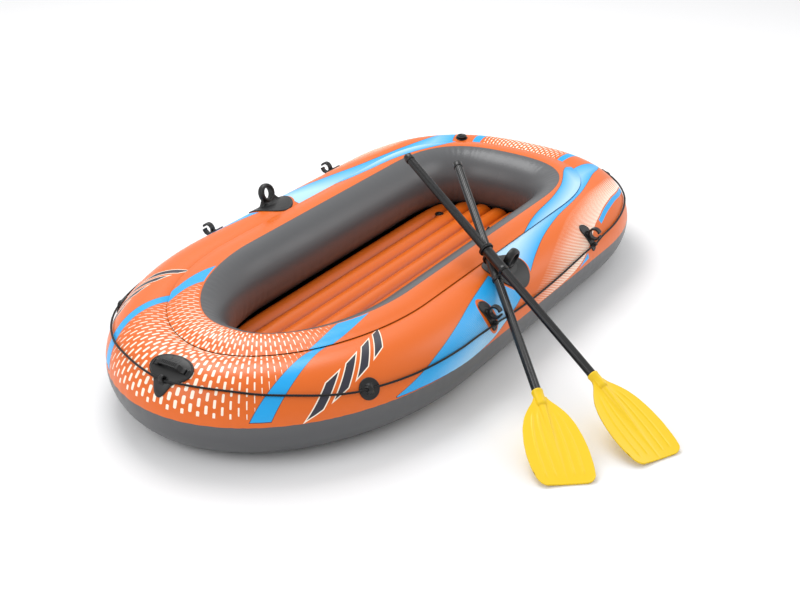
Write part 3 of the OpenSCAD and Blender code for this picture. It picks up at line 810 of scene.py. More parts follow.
OUTER_FILM = outer_film()
INNER_FILM = inner_film()
FLOOR_FILM = floor_film()
BOTTOM_FILM = plain_vinyl("bottom_film", GREY, 0.45)
SOFT_BLACK = moulding("soft_black_vinyl", BLACK, 0.42)
HARD_BLACK = moulding("hard_black_plastic", colour(12, 12, 13), 0.34, 0.3)
SHAFT_BLACK = moulding("gloss_black_shaft", colour(9, 9, 10), 0.22, 0.02, 0.5)
BLADE_YELLOW = moulding("yellow_plastic", YELLOW, 0.38, 0.3)
ROPE_YARN = rope_finish()

# ---------------------------------------------------------------- air chambers


def map_grid(bm, uv_pairs):
    """Give a grid's corners their place on the piece's own map, before the grid is bent."""
    layer = bm.loops.layers.uv.new("UVMap")
    for v, (a, b) in zip(bm.verts, uv_pairs):
        for loop in v.link_loops:
            loop[layer].uv = (a, b)


def outer_skin():
    """The outer tube, with soft puckers along its welds where it curves."""
    bm = bmesh.new()
    grid = unit_grid(bm, 620, 88)
    arc = (grid[:, 0] * 2 - 1) * HALF_LOOP
    theta = grid[:, 1] * 360 - 90
    map_grid(bm, zip(arc, np.radians(theta) * TUBE_R))
    curve = 0.3 + 0.7 * curving(arc)
    seam = np.exp(-(((theta - LOWER_SEAM) / 8) ** 2)) * ripples(arc, 0.030)
    valley = np.exp(-(((theta - 124) / 13) ** 2)) * ripples(arc, 0.045, 0.2)
    drape = 0.3 * np.sin(arc * 31 + np.radians(theta) * 2) * np.exp(-(((theta - 75) / 40) ** 2))
    dent = -(1.5 * curve * seam + 0.4 * curve * valley + 0.12 * np.abs(drape)) * MM
    weld = 0.5 * MM * np.exp(-(((theta - LOWER_SEAM) / 1.6) ** 2))
    move_verts(bm, on_tube(arc, theta, dent + weld))
    bmesh.ops.remove_doubles(bm, verts=bm.verts[:], dist=2e-5)
    bmesh.ops.recalc_face_normals(bm, faces=bm.faces[:])
    return finish_mesh(bm, "outer_chamber")


# The inner tube's film laps over the outer tube, in degrees, and rises to a soft fillet there
FILLET_LAP = 5.0
FILLET_RISE = 3 * MM
FILLET_SINK = 1.8 * MM


def inner_skin():
    """The inner tube: the part of its circle that lies clear of the outer tube, closed along it."""
    bm = bmesh.new()
    own_share = 0.8
    grid = unit_grid(bm, 560, 90)
    arc = (grid[:, 0] * 2 - 1) * HALF_LOOP
    step = step_in(arc)
    rise = INNER_Z - TUBE_R
    reach = np.hypot(step, rise)
    toward = np.degrees(np.arctan2(rise, -step))
    r1 = TUBE_R + 3 * SEAT_GAP
    a1 = np.degrees(np.arccos((reach**2 + r1**2 - INNER_R**2) / (2 * reach * r1)))
    a2 = np.degrees(np.arccos((reach**2 + INNER_R**2 - r1**2) / (2 * reach * INNER_R)))
    share = grid[:, 1]
    own = share <= own_share
    theta = toward - 180 + a2 + (360 - 2 * a2) * share / own_share
    lap = (share - own_share) / (1 - own_share)
    back = toward + a1 - (2 * a1 + FILLET_LAP) * lap
    back_r = r1 - FILLET_SINK * np.clip((lap - 0.8) / 0.2, 0, 1)
    map_grid(bm, zip(arc, np.radians(np.where(own, theta, 60)) * INNER_R))
    curve = 0.25 + 0.75 * curving(arc)
    wall = np.exp(-(((theta - 112) / 14) ** 2)) * ripples(arc, 0.036, 0.1)
    fold = np.exp(-(((theta - 60) / 14) ** 2)) * ripples(arc, 0.045, 0.2)
    low = np.exp(-(((theta - 205) / 22) ** 2)) * ripples(arc, 0.05, 0.4)
    dent = -(0.6 * curve * wall + 0.4 * curve * fold + 1.8 * curve * low) * MM
    from_top = theta - (toward - 180 + a2)
    dent += FILLET_RISE * np.exp(-((from_top / 5) ** 2))
    e, f = np.radians(theta), np.radians(back)
    u = np.where(own, -step + (INNER_R + dent) * np.cos(e), back_r * np.cos(f))
    z = np.where(own, INNER_Z + (INNER_R + dent) * np.sin(e), TUBE_R + back_r * np.sin(f))
    move_verts(bm, place(arc, u, z))
    bmesh.ops.remove_doubles(bm, verts=bm.verts[:], dist=2e-5)
    bmesh.ops.recalc_face_normals(bm, faces=bm.faces[:])
    bm.edges.index_update()
    sharp = [edge.index for edge in bm.edges if edge.calc_face_angle(0) > radians(50)]
    chamber = finish_mesh(bm, "inner_chamber")
    for k in sharp:
        chamber.data.edges[k].use_edge_sharp = True
    return chamber


valve_low, valve_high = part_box("floor_valve_base")
FLOOR_VALVE = Vector(((valve_low.x + valve_high.x) / 2, (valve_low.y + valve_high.y) / 2, valve_high.z))


def floor_outline(arc_count=800):
    """Half width of the cockpit floor over its length."""
    arc = np.linspace(0, HALF_LOOP, arc_count)
    edge = place(arc, -step_in(arc) - FLOOR_SIDE, 0 * arc)
    return edge[:, 0], edge[:, 1]


def floor_pad():
    """The air floor: rounded channels that fall away to the welds, with small puckers across each weld."""
    edge_x, edge_y = floor_outline()
    bm = bmesh.new()
    grid = unit_grid(bm, 260, 140)
    low, high = edge_x.min() + 0.6 * MM, edge_x.max() - 0.6 * MM
    x = (low + high) / 2 - (high - low) / 2 * np.cos(grid[:, 0] * pi)
    half = np.interp(x, edge_x[::-1], edge_y[::-1])
    y = (grid[:, 1] * 2 - 1) * np.maximum(half - 0.4 * MM, 0.1 * MM)
    lane = (y / CHANNEL_PITCH + CHANNELS / 2) % 1 - 0.5
    lane[np.abs(y) > CHANNEL_PITCH * CHANNELS / 2] = 0.45
    arch = FLOOR_TOP - CHANNEL_R + np.sqrt(CHANNEL_R**2 - (lane * CHANNEL_PITCH) ** 2)
    from_weld = (0.5 - np.abs(lane)) * CHANNEL_PITCH
    weld_id = np.round(y / CHANNEL_PITCH + CHANNELS / 2)
    pucker = np.exp(-((from_weld / (9 * MM)) ** 2)) * ripples(x, 0.034, 0.013 * weld_id) * 0.8 * MM
    swell = 0.35 * MM * np.sin(x * 23 + weld_id * 1.9) * (1 - np.exp(-((from_weld / (12 * MM)) ** 2)))
    to_end = np.minimum(x - low, high - x)
    to_side = (half - np.abs(y)) * 0.8
    near = np.clip(np.minimum(to_end, to_side) / (12 * MM), 0, 1)
    fall = 4 * MM * (1 - np.sqrt(1 - (1 - near) ** 2))
    seat = np.exp(-((np.hypot(x - FLOOR_VALVE.x, y - FLOOR_VALVE.y) / (16 * MM)) ** 4))
    z = (arch - pucker + np.minimum(swell, 0) - fall) * (1 - seat) + seat * (FLOOR_VALVE.z - 2.5 * MM)
    map_grid(bm, zip(x, y))
    move_verts(bm, np.stack([x, y, z], -1))
    made = bmesh.ops.extrude_face_region(bm, geom=bm.faces[:])["geom"]
    for v in [g for g in made if isinstance(g, bmesh.types.BMVert)]:
        v.co.z = floor_low.z
    bmesh.ops.remove_doubles(bm, verts=bm.verts[:], dist=2e-5)
    bmesh.ops.recalc_face_normals(bm, faces=bm.faces[:])
    return finish_mesh(bm, "air_floor")


def bottom_film():
    """The hull's bottom, one taut sheet of film welded under the tube."""
    sheet_low, sheet_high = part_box("bottom_sheet")
    thickness = 0.8 * MM
    inset = sqrt(TUBE_R**2 - (TUBE_R - sheet_high.z - SEAT_GAP) ** 2) + 2 * MM
    arc = np.linspace(-HALF_LOOP, HALF_LOOP, 360, endpoint=False)
    edge = place(arc, -inset + 0 * arc, sheet_low.z + 0 * arc)
    bm = bmesh.new()
    rim = [bm.verts.new(p) for p in edge]
    face = bm.faces.new(rim)
    for _ in range(6):
        bmesh.ops.inset_region(bm, faces=[face], thickness=0.03, use_even_offset=False)
    up = bmesh.ops.extrude_face_region(bm, geom=bm.faces[:])["geom"]
    top = [g for g in up if isinstance(g, bmesh.types.BMVert)]
    bmesh.ops.translate(bm, verts=top, vec=(0, 0, thickness))
    bmesh.ops.recalc_face_normals(bm, faces=bm.faces[:])
    area = 0.5 * abs(np.sum(edge[:, 0] * np.roll(edge[:, 1], -1) - np.roll(edge[:, 0], -1) * edge[:, 1]))
    size = (float(np.ptp(edge[:, 1])), float(np.ptp(edge[:, 0])))
    return finish_mesh(bm, "bottom_film"), size, float(area)


chamber = dress(outer_skin(), "hull", "orange_vinyl", OUTER_FILM, "outer_tube")
chamber = dress(inner_skin(), "hull", "grey_vinyl", INNER_FILM, "inner_tube")
chamber = dress(floor_pad(), "hull", "orange_vinyl", FLOOR_FILM, "floor_cushion")
bottom, bottom_size, bottom_area = bottom_film()
dress(bottom, "hull", "grey_vinyl", BOTTOM_FILM, "bottom_sheet")

# ---------------------------------------------------------------- the rope and its knot


def twisted_rope():
    """Three strands laid round each other along the rope's route."""
    line, length = smooth_route(rope_route(), 2 * MM)
    tangent = np.gradient(line, axis=0)
    tangent /= np.linalg.norm(tangent, axis=1, keepdims=True)
    side = np.cross(tangent, [0, 0, 1.0])
    side /= np.linalg.norm(side, axis=1, keepdims=True)
    up = np.cross(side, tangent)
    bm = bmesh.new()
    around = 15
    lay = 20 * MM
    grid = unit_grid(bm, len(line) - 1, around)
    at = np.clip(np.round(grid[:, 0] * (len(line) - 1)).astype(int), 0, len(line) - 1)
    phi = grid[:, 1] * 2 * pi
    along = grid[:, 0] * length
    strand = np.abs(np.cos(1.5 * (phi - along / lay * 2 * pi)))
    r = ROPE_R * (0.82 + 0.18 * strand)
    map_grid(bm, zip(along, grid[:, 1]))
    sideways, upwards = (r * np.cos(phi))[:, None], (r * np.sin(phi))[:, None]
    move_verts(bm, line[at] + sideways * side[at] + upwards * up[at])
    bmesh.ops.remove_doubles(bm, verts=bm.verts[:], dist=1e-6)
    bmesh.ops.holes_fill(bm, edges=[e for e in bm.edges if e.is_boundary], sides=0)
    bmesh.ops.recalc_face_normals(bm, faces=bm.faces[:])
    return finish_mesh(bm, "rope"), line, length


def knot():
    """The two ends tied together: wound turns round a core, with short whipped ends."""
    bm = bmesh.new()
    turns = 3
    centre = on_tube(HALF_LOOP, KNOT_ELEVATION, KNOT_R + 0.001)
    for k in range(turns):
        y = (k - (turns - 1) / 2) * 6.4 * MM
        angles = np.linspace(0, 2 * pi, 12, endpoint=False)
        ring = [(4.2 * MM + 2.8 * MM * cos(a), y + 3.2 * MM * sin(a)) for a in angles]
        made = lathe(bm, ring, 28, "Y")
        bmesh.ops.rotate(bm, verts=made, cent=(0, y, 0), matrix=Matrix.Rotation(radians(14), 3, "X"))
    end = KNOT_LENGTH / 2
    core = [(0, -end), (3 * MM, -end), (3 * MM, end), (0, end)]
    lathe(bm, core, 16, "Y")
    obj = moulded("rope_tie", bm, voxel=0.5 * MM, rounds=3)
    co = np.array([v.co[:] for v in obj.data.vertices]) + centre
    obj.data.vertices.foreach_set("co", co.astype(np.float32).ravel())
    return obj


rope, rope_line, rope_length = twisted_rope()
dress(rope, "hull", "black_rope", ROPE_YARN, "grab_rope")
rope_tie = dress(knot(), "hull", "black_rope", ROPE_YARN, "rope_knot")

# ---------------------------------------------------------------- fittings on the outer tube

PAD_T = 3 * MM
EYE_WIDTH = 16 * MM
ROPE_HOLE_R = 4 * MM
LOCK_HEIGHT = 36 * MM
LOCK_HOLE_R = 18 * MM
LOCK_DEPTH = 22 * MM
LOCK_R = 30 * MM
CLIP_SEAT_R = 13 * MM
CLIP_WALL = 6 * MM
CLIP_WIDTH = 16 * MM
CLIP_HEIGHT = CLIP_SEAT_R + CLIP_WALL + 5 * MM
HOLDER_R = 28 * MM
HANDLE_ELEVATION = 63


def rod(bm, start, end, radius, segments=24):
    """A round bar between two points."""
    start, end = Vector(start), Vector(end)
    axis = end - start
    made = bmesh.ops.create_cone(
        bm, cap_ends=True, segments=segments, radius1=radius, radius2=radius, depth=axis.length
    )["verts"]
    bmesh.ops.rotate(bm, verts=made, cent=(0, 0, 0), matrix=axis.to_track_quat("Z", "Y").to_matrix())
    bmesh.ops.translate(bm, verts=made, vec=(start + end) / 2)


def disc(bm, radius, top, rim=0.0, rim_width=4 * MM):
    """A round pad with a rounded edge and, if asked, a raised rim."""
    low = SEAT_GAP
    edge = [(radius, low), (radius, top - 1 * MM), (radius - 0.8 * MM, top + rim)]
    inner = [(radius - rim_width, top + rim), (radius - rim_width - 1 * MM, top), (0, top)]
    lathe(bm, [(0, low), *edge, *inner], 96)


def oarlock():
    """A round pad, and on it a thick upright ring on a flared foot, with a fin on each side."""
    bm = bmesh.new()
    disc(bm, LOCK_PAD_R, SEAT_GAP + PAD_T, 0.8 * MM, 3 * MM)
    foot = [(0, 1), (38, 1), (37, 4.2), (30, 5.5), (22, 8), (0, 9)]
    made = lathe(bm, [(r * MM, z * MM) for r, z in foot], 64)
    bmesh.ops.scale(bm, verts=made, vec=(0.55, 1, 1))
    round_off = 5 * MM
    ring = [(LOCK_HOLE_R + 1 * MM, -LOCK_DEPTH / 2), (LOCK_R - round_off, -LOCK_DEPTH / 2)]
    for a in np.linspace(0, pi, 9)[1:-1]:
        squash = LOCK_DEPTH / 2
        ring.append((LOCK_R - round_off + round_off * sin(a), -squash * cos(a)))
    ring += [(LOCK_R - round_off, LOCK_DEPTH / 2), (LOCK_HOLE_R + 1 * MM, LOCK_DEPTH / 2)]
    shift(bm, lathe(bm, ring, 64, "X"), 0, 0, LOCK_HEIGHT)
    block(bm, (LOCK_DEPTH * 0.8, 1.5 * LOCK_R, 18 * MM), (0, 0, 10 * MM), 2 * MM, 0.9)
    for side in (-1, 1):
        start = (0, side * 24 * MM, 22 * MM)
        for k in range(8):
            share = k / 7
            top = 23 * MM * (1 - share) ** 1.5 + 4 * MM
            at = (0, side * (26 + 24 * share) * MM, top / 2 + 1 * MM)
            block(bm, (7 * MM, 4.4 * MM, top), at, 1 * MM)
        rod(bm, start, (0, side * 30 * MM, 12 * MM), 3.4 * MM)
    cut = bmesh.new()
    rod(cut, (-LOCK_DEPTH, 0, LOCK_HEIGHT), (LOCK_DEPTH, 0, LOCK_HEIGHT), LOCK_HOLE_R, 64)
    return moulded("oarlock_port_moulding", bm, cut, 1.15 * MM, 5)


def pill_outline(x1, r1, x2, r2):
    """The outline of a plate with one wide and one narrow round end."""
    opening = acos((r1 - r2) / (x2 - x1))
    wide = [(x1 + r1 * cos(a), r1 * sin(a)) for a in np.linspace(opening, 2 * pi - opening, 40)]
    narrow = [(x2 + r2 * cos(a), r2 * sin(a)) for a in np.linspace(-opening, opening, 24)]
    return wide + narrow


def oar_clip():
    """A drop-shaped plate with a raised rim, a rope eye, and an open hook for an oar shaft."""
    bm = bmesh.new()
    low, top = SEAT_GAP, SEAT_GAP + PAD_T
    plate(bm, pill_outline(-22 * MM, 21 * MM, 33 * MM, 12 * MM), low, top - 1 * MM)
    plate(bm, pill_outline(-22 * MM, 20 * MM, 33 * MM, 11 * MM), low, top)
    rim_inset = 2.5
    outline = pill_outline(-22 * MM, (21 - rim_inset) * MM, 33 * MM, (12 - rim_inset) * MM)
    for p, q in zip(outline, outline[1:] + outline[:1]):
        rod(bm, (*p, top), (*q, top), 1.2 * MM, 8)
    # Hook: thin at its open ends, thicker at its back, as wide as the clip
    middle_r = CLIP_SEAT_R + CLIP_WALL / 2
    turns = np.radians(np.linspace(82, 360 + 32, 40))
    for a, b in zip(turns, turns[1:]):
        thick = CLIP_WALL * (0.86 + 0.14 * sin((a - turns[0]) / (turns[-1] - turns[0]) * pi))
        points = [(middle_r * cos(t), CLIP_HEIGHT + middle_r * sin(t)) for t in (a, b)]
        bar(bm, points, CLIP_WIDTH, thick)
    tips = (turns[0], turns[-1])
    for a in tips:
        x, z = middle_r * cos(a), CLIP_HEIGHT + middle_r * sin(a)
        rod(bm, (x, -CLIP_WIDTH / 2, z), (x, CLIP_WIDTH / 2, z), CLIP_WALL * 0.56)
    block(bm, (26 * MM, CLIP_WIDTH * 0.9, 9 * MM), (0, 0, 5 * MM), 1.5 * MM, 0.85)
    block(bm, (24 * MM, 6 * MM, 10 * MM), (-11 * MM, 0, 5.5 * MM), 1.5 * MM, 0.6)
    drop = (CLIP_ELEVATION - 23.5) * radians(1) * TUBE_R
    block(bm, (15 * MM, EYE_WIDTH, 12 * MM), (drop, 0, 6.5 * MM), 3 * MM, 0.8)
    cut = bmesh.new()
    rod(cut, (drop, -30 * MM, EYE_LIFT), (drop, 30 * MM, EYE_LIFT), ROPE_HOLE_R)
    rod(cut, (0, -30 * MM, CLIP_HEIGHT), (0, 30 * MM, CLIP_HEIGHT), CLIP_SEAT_R, 48)
    return moulded("oar_clip_port_fore_moulding", bm, cut, 0.8 * MM, 3)


def rope_holder():
    """A rimmed disc with a half dome over the rope, and a dark recess where the rope goes in."""
    bm = bmesh.new()
    disc(bm, HOLDER_R, SEAT_GAP + PAD_T, 1.4 * MM)
    made = bmesh.ops.create_uvsphere(bm, u_segments=40, v_segments=20, radius=15 * MM)["verts"]
    bmesh.ops.scale(bm, verts=made, vec=(1, 0.86, 0.88))
    block(bm, (22 * MM, 10 * MM, 9 * MM), (0, 0, 5 * MM), 2 * MM, 0.7)
    for side in (-1, 1):
        block(bm, (3 * MM, 22 * MM, 7 * MM), (side * 11 * MM, 0, 4.5 * MM), 1 * MM, 0.8)
    cut = bmesh.new()
    rod(cut, (0, -40 * MM, EYE_LIFT), (0, 40 * MM, EYE_LIFT), ROPE_HOLE_R)
    bmesh.ops.create_cube(cut, size=60 * MM, matrix=Matrix.Translation((0, 0, -30 * MM + SEAT_GAP)))
    return moulded("rope_holder_port_fore_moulding", bm, cut, 0.8 * MM, 3)


def handle_outline(grow=0.0):
    """The bow handle's oval with its tongue, which points down the tube."""
    points = []
    for a in np.radians(np.arange(-180, 180, 3)):
        tongue = 34 * MM * np.exp(-((np.degrees(a) / 26) ** 2))
        r = 1 / hypot(cos(a) / (40 * MM), sin(a) / (65 * MM)) + tongue + grow
        points.append((r * cos(a), r * sin(a)))
    return points


def bow_pad():
    """The handle's base: a rim, feet for the grip and a tunnel for the rope in the tongue."""
    bm = bmesh.new()
    low, top = 3 * SEAT_GAP, 3 * SEAT_GAP + PAD_T
    plate(bm, handle_outline(), low, top - 1 * MM)
    plate(bm, handle_outline(-1 * MM), low, top - 0.2 * MM)
    outline = handle_outline(-3 * MM)
    for p, q in zip(outline, outline[1:] + outline[:1]):
        rod(bm, (*p, top - 0.3 * MM), (*q, top - 0.3 * MM), 1.3 * MM, 8)
    for side in (-1, 1):
        block(bm, (20 * MM, 5 * MM, 5 * MM), (0, side * 52.5 * MM, top + 1 * MM), 1.4 * MM, 0.8)
    for k in range(7):
        block(bm, (2 * MM, 30 * MM, 1.6 * MM), ((k - 3) * 4.2 * MM - 24 * MM, 0, top), 0.5 * MM)
    drop = (HANDLE_ELEVATION - 45) * radians(1) * TUBE_R
    block(bm, (21 * MM, EYE_WIDTH + 2 * MM, 12.5 * MM), (drop, 0, 7 * MM), 3.5 * MM, 0.75)
    cut = bmesh.new()
    rod(cut, (drop, -30 * MM, EYE_LIFT), (drop, 30 * MM, EYE_LIFT), ROPE_HOLE_R)
    rod(cut, (drop, -13 * MM, EYE_LIFT), (drop, -6 * MM, EYE_LIFT), 5.5 * MM)
    rod(cut, (drop, 6 * MM, EYE_LIFT), (drop, 13 * MM, EYE_LIFT), 5.5 * MM)
    return moulded("bow_handle_base", bm, cut, 0.95 * MM, 3)


def bow_grip():
    """The strap grip: a raised bar with bent feet and a ribbed middle."""
    bm = bmesh.new()
    foot = PAD_T + 3 * SEAT_GAP
    high = 17 * MM
    near_end = [(45, foot / MM + 2.6), (36, foot / MM + 3.0), (29, high / MM)]
    points = [(-x * MM, z * MM) for x, z in near_end] + [(x * MM, z * MM) for x, z in near_end[::-1]]
    bar(bm, points, 14 * MM, 5 * MM)
    for x, z in points[1:-1]:
        rod(bm, (x, -7 * MM, z), (x, 7 * MM, z), 2.6 * MM)
    for k in range(9):
        block(bm, (2.4 * MM, 12 * MM, 2 * MM), ((k - 4) * 5.2 * MM, 0, high + 2.6 * MM), 0.6 * MM)
    for side in (-1, 1):
        block(bm, (46 * MM, 1.8 * MM, 2.2 * MM), (0, side * 6 * MM, high + 2.6 * MM), 0.6 * MM)
    bmesh.ops.rotate(bm, verts=bm.verts[:], cent=(0, 0, 0), matrix=Matrix.Rotation(pi / 2, 3, "Z"))
    return moulded("bow_handle_strap", bm, None, 0.7 * MM, 2)


def copy_of(obj, name):
    """A second object with its own copy of a mesh."""
    twin = bpy.data.objects.new(name, obj.data.copy())
    bpy.context.collection.objects.link(twin)
    return twin


def both_sides(obj, station, elevation, node, body="hull"):
    """Lay a port moulding on the tube and put its mirror image on the starboard side."""
    lay_on_tube(obj, arc_of(station), elevation)
    other = mirrored(obj, obj.name.replace("port", "starboard"))
    dress(obj, body, "black_vinyl", SOFT_BLACK, node)
    dress(other, body, "black_vinyl", SOFT_BLACK, node.replace("port", "starboard"))


both_sides(oarlock(), LOCK_STATION, LOCK_ELEVATION, "oarlock_port")
clip = oar_clip()
aft_clip = copy_of(clip, "oar_clip_port_aft_moulding")
both_sides(clip, CLIP_STATIONS[0], CLIP_ELEVATION, "oar_clip_port_fore")
both_sides(aft_clip, CLIP_STATIONS[1], CLIP_ELEVATION, "oar_clip_port_aft")
holder = rope_holder()
aft_holder = copy_of(holder, "rope_holder_port_aft_moulding")
both_sides(holder, 55, 27, "rope_holder_port_fore")
both_sides(aft_holder, 246, 31, "rope_holder_port_aft")
piece = lay_on_tube(bow_pad(), 0.0, HANDLE_ELEVATION, 6 * MM, 14 * MM)
dress(piece, "hull", "black_vinyl", SOFT_BLACK, "bow_handle_pad")
piece = lay_on_tube(bow_grip(), 0.0, HANDLE_ELEVATION, 30 * MM, 60 * MM)
dress(piece, "hull", "black_vinyl", SOFT_BLACK, "bow_handle_grip")

# ---------------------------------------------------------------- valves


def oriented(obj, origin, x, y, z):
    """Put a piece made at the origin into a frame."""
    co = np.array([v.co[:] for v in obj.data.vertices])
    placed = origin + co[:, :1] * x + co[:, 1:2] * y + co[:, 2:] * z
    obj.data.vertices.foreach_set("co", placed.astype(np.float32).ravel())
    obj.data.update()
    return obj


def hull_valve_seat():
    """Welded flange with a plain round neck for the valve."""
    bm = bmesh.new()
    disc(bm, 20 * MM, SEAT_GAP + 2 * MM, 0.5 * MM, 2 * MM)
    neck = [(0, 1), (12, 1), (12, 6.6), (11.2, 7), (0, 7)]
    lathe(bm, [(r * MM, z * MM) for r, z in neck], 64)
    return moulded("hull_valve_flange", bm, None, 0.6 * MM, 2)


def hull_valve_cap():
    """Screw cap: notched rim, dished top and a cross bar to turn it by."""
    bm = bmesh.new()
    neck = 12.4 * MM
    outside = [(15.6, 3.7), (16, 4.3), (16, 8.6), (15.2, 9.4), (13, 9.4), (12.2, 8.5), (0, 8.5)]
    profile = [(neck, 3.7 * MM), *[(r * MM, z * MM) for r, z in outside], (0, 7.5 * MM), (neck, 7.5 * MM)]
    verts = [bm.verts.new((r, 0, z)) for r, z in profile]
    edges = [bm.edges.new(pair) for pair in zip(verts[:8], verts[1:8])]
    edges += [bm.edges.new((verts[8], verts[9])), bm.edges.new((verts[9], verts[0]))]
    bmesh.ops.spin(
        bm, geom=verts + edges, cent=(0, 0, 0), axis=(0, 0, 1), angle=2 * pi, steps=96, use_merge=True
    )
    bmesh.ops.remove_doubles(bm, verts=bm.verts[:], dist=1e-6)
    for v in bm.verts:
        r = hypot(v.co.x, v.co.y)
        if r > 15 * MM:
            notch = 1 - 0.05 * (0.5 + 0.5 * cos(24 * atan2(v.co.y, v.co.x))) ** 3
            v.co.x *= notch
            v.co.y *= notch
    bmesh.ops.recalc_face_normals(bm, faces=bm.faces[:])
    block(bm, (5 * MM, 21 * MM, 2.2 * MM), (0, 0, 8.9 * MM), 0.7 * MM, 0.85)
    return finish_mesh(bm, "hull_valve_screw_cap")


def valve_at(station, elevation):
    """The frame of a fitting on the starboard side."""
    origin, x, y, z = tube_frame(arc_of(station), elevation)
    flip = np.array([1, -1, 1])
    return origin * flip, x * flip, -y * flip, z * flip


def inner_valve_frame():
    """The frame of the inner tube's valve, on its inner wall on the port side."""
    e = radians(20)
    z = np.array([0, -cos(e), sin(e)])
    origin = np.array([STERN_X + 0.150, SIDE_Y - TUBE_STEP, INNER_Z]) + z * INNER_R
    x = np.array([1.0, 0, 0])
    return origin, x, np.cross(z, x), z


def pinch_stem():
    """Valve stem on a round base, with a collar at its mouth."""
    bm = bmesh.new()
    base = [(0, 0.4), (17, 0.4), (16.6, 1.6), (9, 2.2), (7, 4)]
    stem = [(6.6, 9), (7, 10), (7, 12), (4.6, 12), (4.6, 4.2), (0, 4.2)]
    lathe(bm, [(r * MM, z * MM) for r, z in base + stem], 64)
    return finish_mesh(bm, "inner_valve_stem")


def stopper(name, radius, top, head, lift):
    """A push-in stopper with a domed head."""
    bm = bmesh.new()
    low = lift - 7 * MM
    profile = [(0, low), (radius - 0.6 * MM, low), (radius, lift - 6 * MM), (radius, lift)]
    profile += [(head, lift), (head + 0.3 * MM, lift + 1 * MM), (head - 0.6 * MM, lift + top - 0.6 * MM)]
    profile += [(head * 0.6, lift + top), (0, lift + top)]
    lathe(bm, profile, 48)
    return finish_mesh(bm, name)


def floor_valve_seat():
    """Sunk ring of the floor's valve."""
    bm = bmesh.new()
    top = FLOOR_VALVE.z
    profile = [(0, 27), (13.6, 27), (14, 26), (14, 0.8), (13.2, 0), (10.5, 0), (10, 0.5)]
    profile += [(6.4, 0.5), (6.1, 1), (6.1, 12), (0, 12)]
    made = lathe(bm, [(r * MM, top - drop * MM) for r, drop in profile], 64)
    shift(bm, made, FLOOR_VALVE.x, FLOOR_VALVE.y, 0)
    return finish_mesh(bm, "floor_valve_ring")


HULL_VALVE_STATION = 249
HULL_VALVE_ELEVATION = 96
seat = hull_valve_seat()
lay_on_tube(seat, -arc_of(HULL_VALVE_STATION), HULL_VALVE_ELEVATION)
dress(seat, "hull", "black_vinyl", SOFT_BLACK, "hull_valve_base")
cap = oriented(hull_valve_cap(), *valve_at(HULL_VALVE_STATION, HULL_VALVE_ELEVATION))
dress(cap, "hull_valve_cap", "black_vinyl", HARD_BLACK, "hull_valve_cap")
stem = oriented(pinch_stem(), *inner_valve_frame())
dress(stem, "hull", "black_vinyl", SOFT_BLACK, "inner_valve_base")
plug = stopper("inner_valve_stopper", 4.2 * MM, 4 * MM, 8 * MM, 12.3 * MM)
oriented(plug, *inner_valve_frame())
dress(plug, "inner_valve_plug", "black_vinyl", SOFT_BLACK, "inner_valve_plug")
dress(floor_valve_seat(), "hull", "black_vinyl", SOFT_BLACK, "floor_valve_base")
plug = stopper("floor_valve_stopper", 5.7 * MM, 2.9 * MM, 8.4 * MM, 0.3 * MM)
oriented(plug, np.array(FLOOR_VALVE), np.array([1, 0, 0]), np.array([0, 1, 0]), np.array([0, 0, 1]))
dress(plug, "floor_valve_plug", "black_vinyl", SOFT_BLACK, "floor_valve_plug")

# ---------------------------------------------------------------- oars

OAR_LENGTH = 1.160
STOP_AT = 0.400
SHAFT_R = 12 * MM
STOP_R = 21 * MM
STOP_T = 8 * MM
SLIDE_GAP = 0.3 * MM
FERRULE_LENGTH = 84 * MM
FERRULE_R = SHAFT_R + SLIDE_GAP + 3 * MM
FERRULE_START = STOP_T / 2 + SLIDE_GAP
HALF_JOINT = FERRULE_START + FERRULE_LENGTH * 0.55
BLADE_END = OAR_LENGTH - STOP_AT
BLADE_LENGTH = 285 * MM
BLADE_WIDTH = 155 * MM
BLADE_T = 4 * MM
SOCKET_LENGTH = 50 * MM
SOCKET_START = BLADE_END - BLADE_LENGTH
SOCKET_R = SHAFT_R + 3 * MM
BLADE_TILT = radians(2.2)
BLADE_ROOT = 22 * MM
# Where the two oars cross over the port side: yaw, pitch, height and distance from the stop ring
CROSSING = (0.088, 0.4225)
OAR_LAY = {
    "lower": (radians(45.4), radians(19.7), 0.2467, 60 * MM),
    "upper": (radians(68.4), radians(22.6), 0.2846, 48 * MM),
}


def oar_matrix(which):
    """The place of an oar: its own frame has the stop ring at the origin and x towards the blade."""
    yaw, pitch, height, at = OAR_LAY[which]
    turn = Matrix.Rotation(yaw, 4, "Z") @ Matrix.Rotation(pitch, 4, "Y")
    return Matrix.Translation((*CROSSING, height)) @ turn @ Matrix.Translation((-at, 0, 0))


def laid(bm, name, which):
    """Put a part of an oar in its place."""
    bmesh.ops.transform(bm, matrix=oar_matrix(which), verts=bm.verts[:])
    return finish_mesh(bm, name)


def fluted(bm, start, end, flutes=12, depth=0.9 * MM):
    """A shaft with flutes pressed along it, plain at its ends."""
    ease = 3 * MM
    inner = SHAFT_R - 1 * MM
    profile = [(0, start), (inner, start), (SHAFT_R, start + 1 * MM), (SHAFT_R, start + ease)]
    profile += [(SHAFT_R, end - ease), (SHAFT_R, end - 1 * MM), (inner, end), (0, end)]
    made = lathe(bm, profile, flutes * 10, "X")
    for v in made:
        r = hypot(v.co.y, v.co.z)
        if r > SHAFT_R - 0.5 * MM and start + 2 * MM < v.co.x < end - 2 * MM:
            groove = max(0.0, cos(flutes * atan2(v.co.z, v.co.y))) ** 1.5
            k = (r - depth * groove) / r
            v.co.y *= k
            v.co.z *= k
    return made


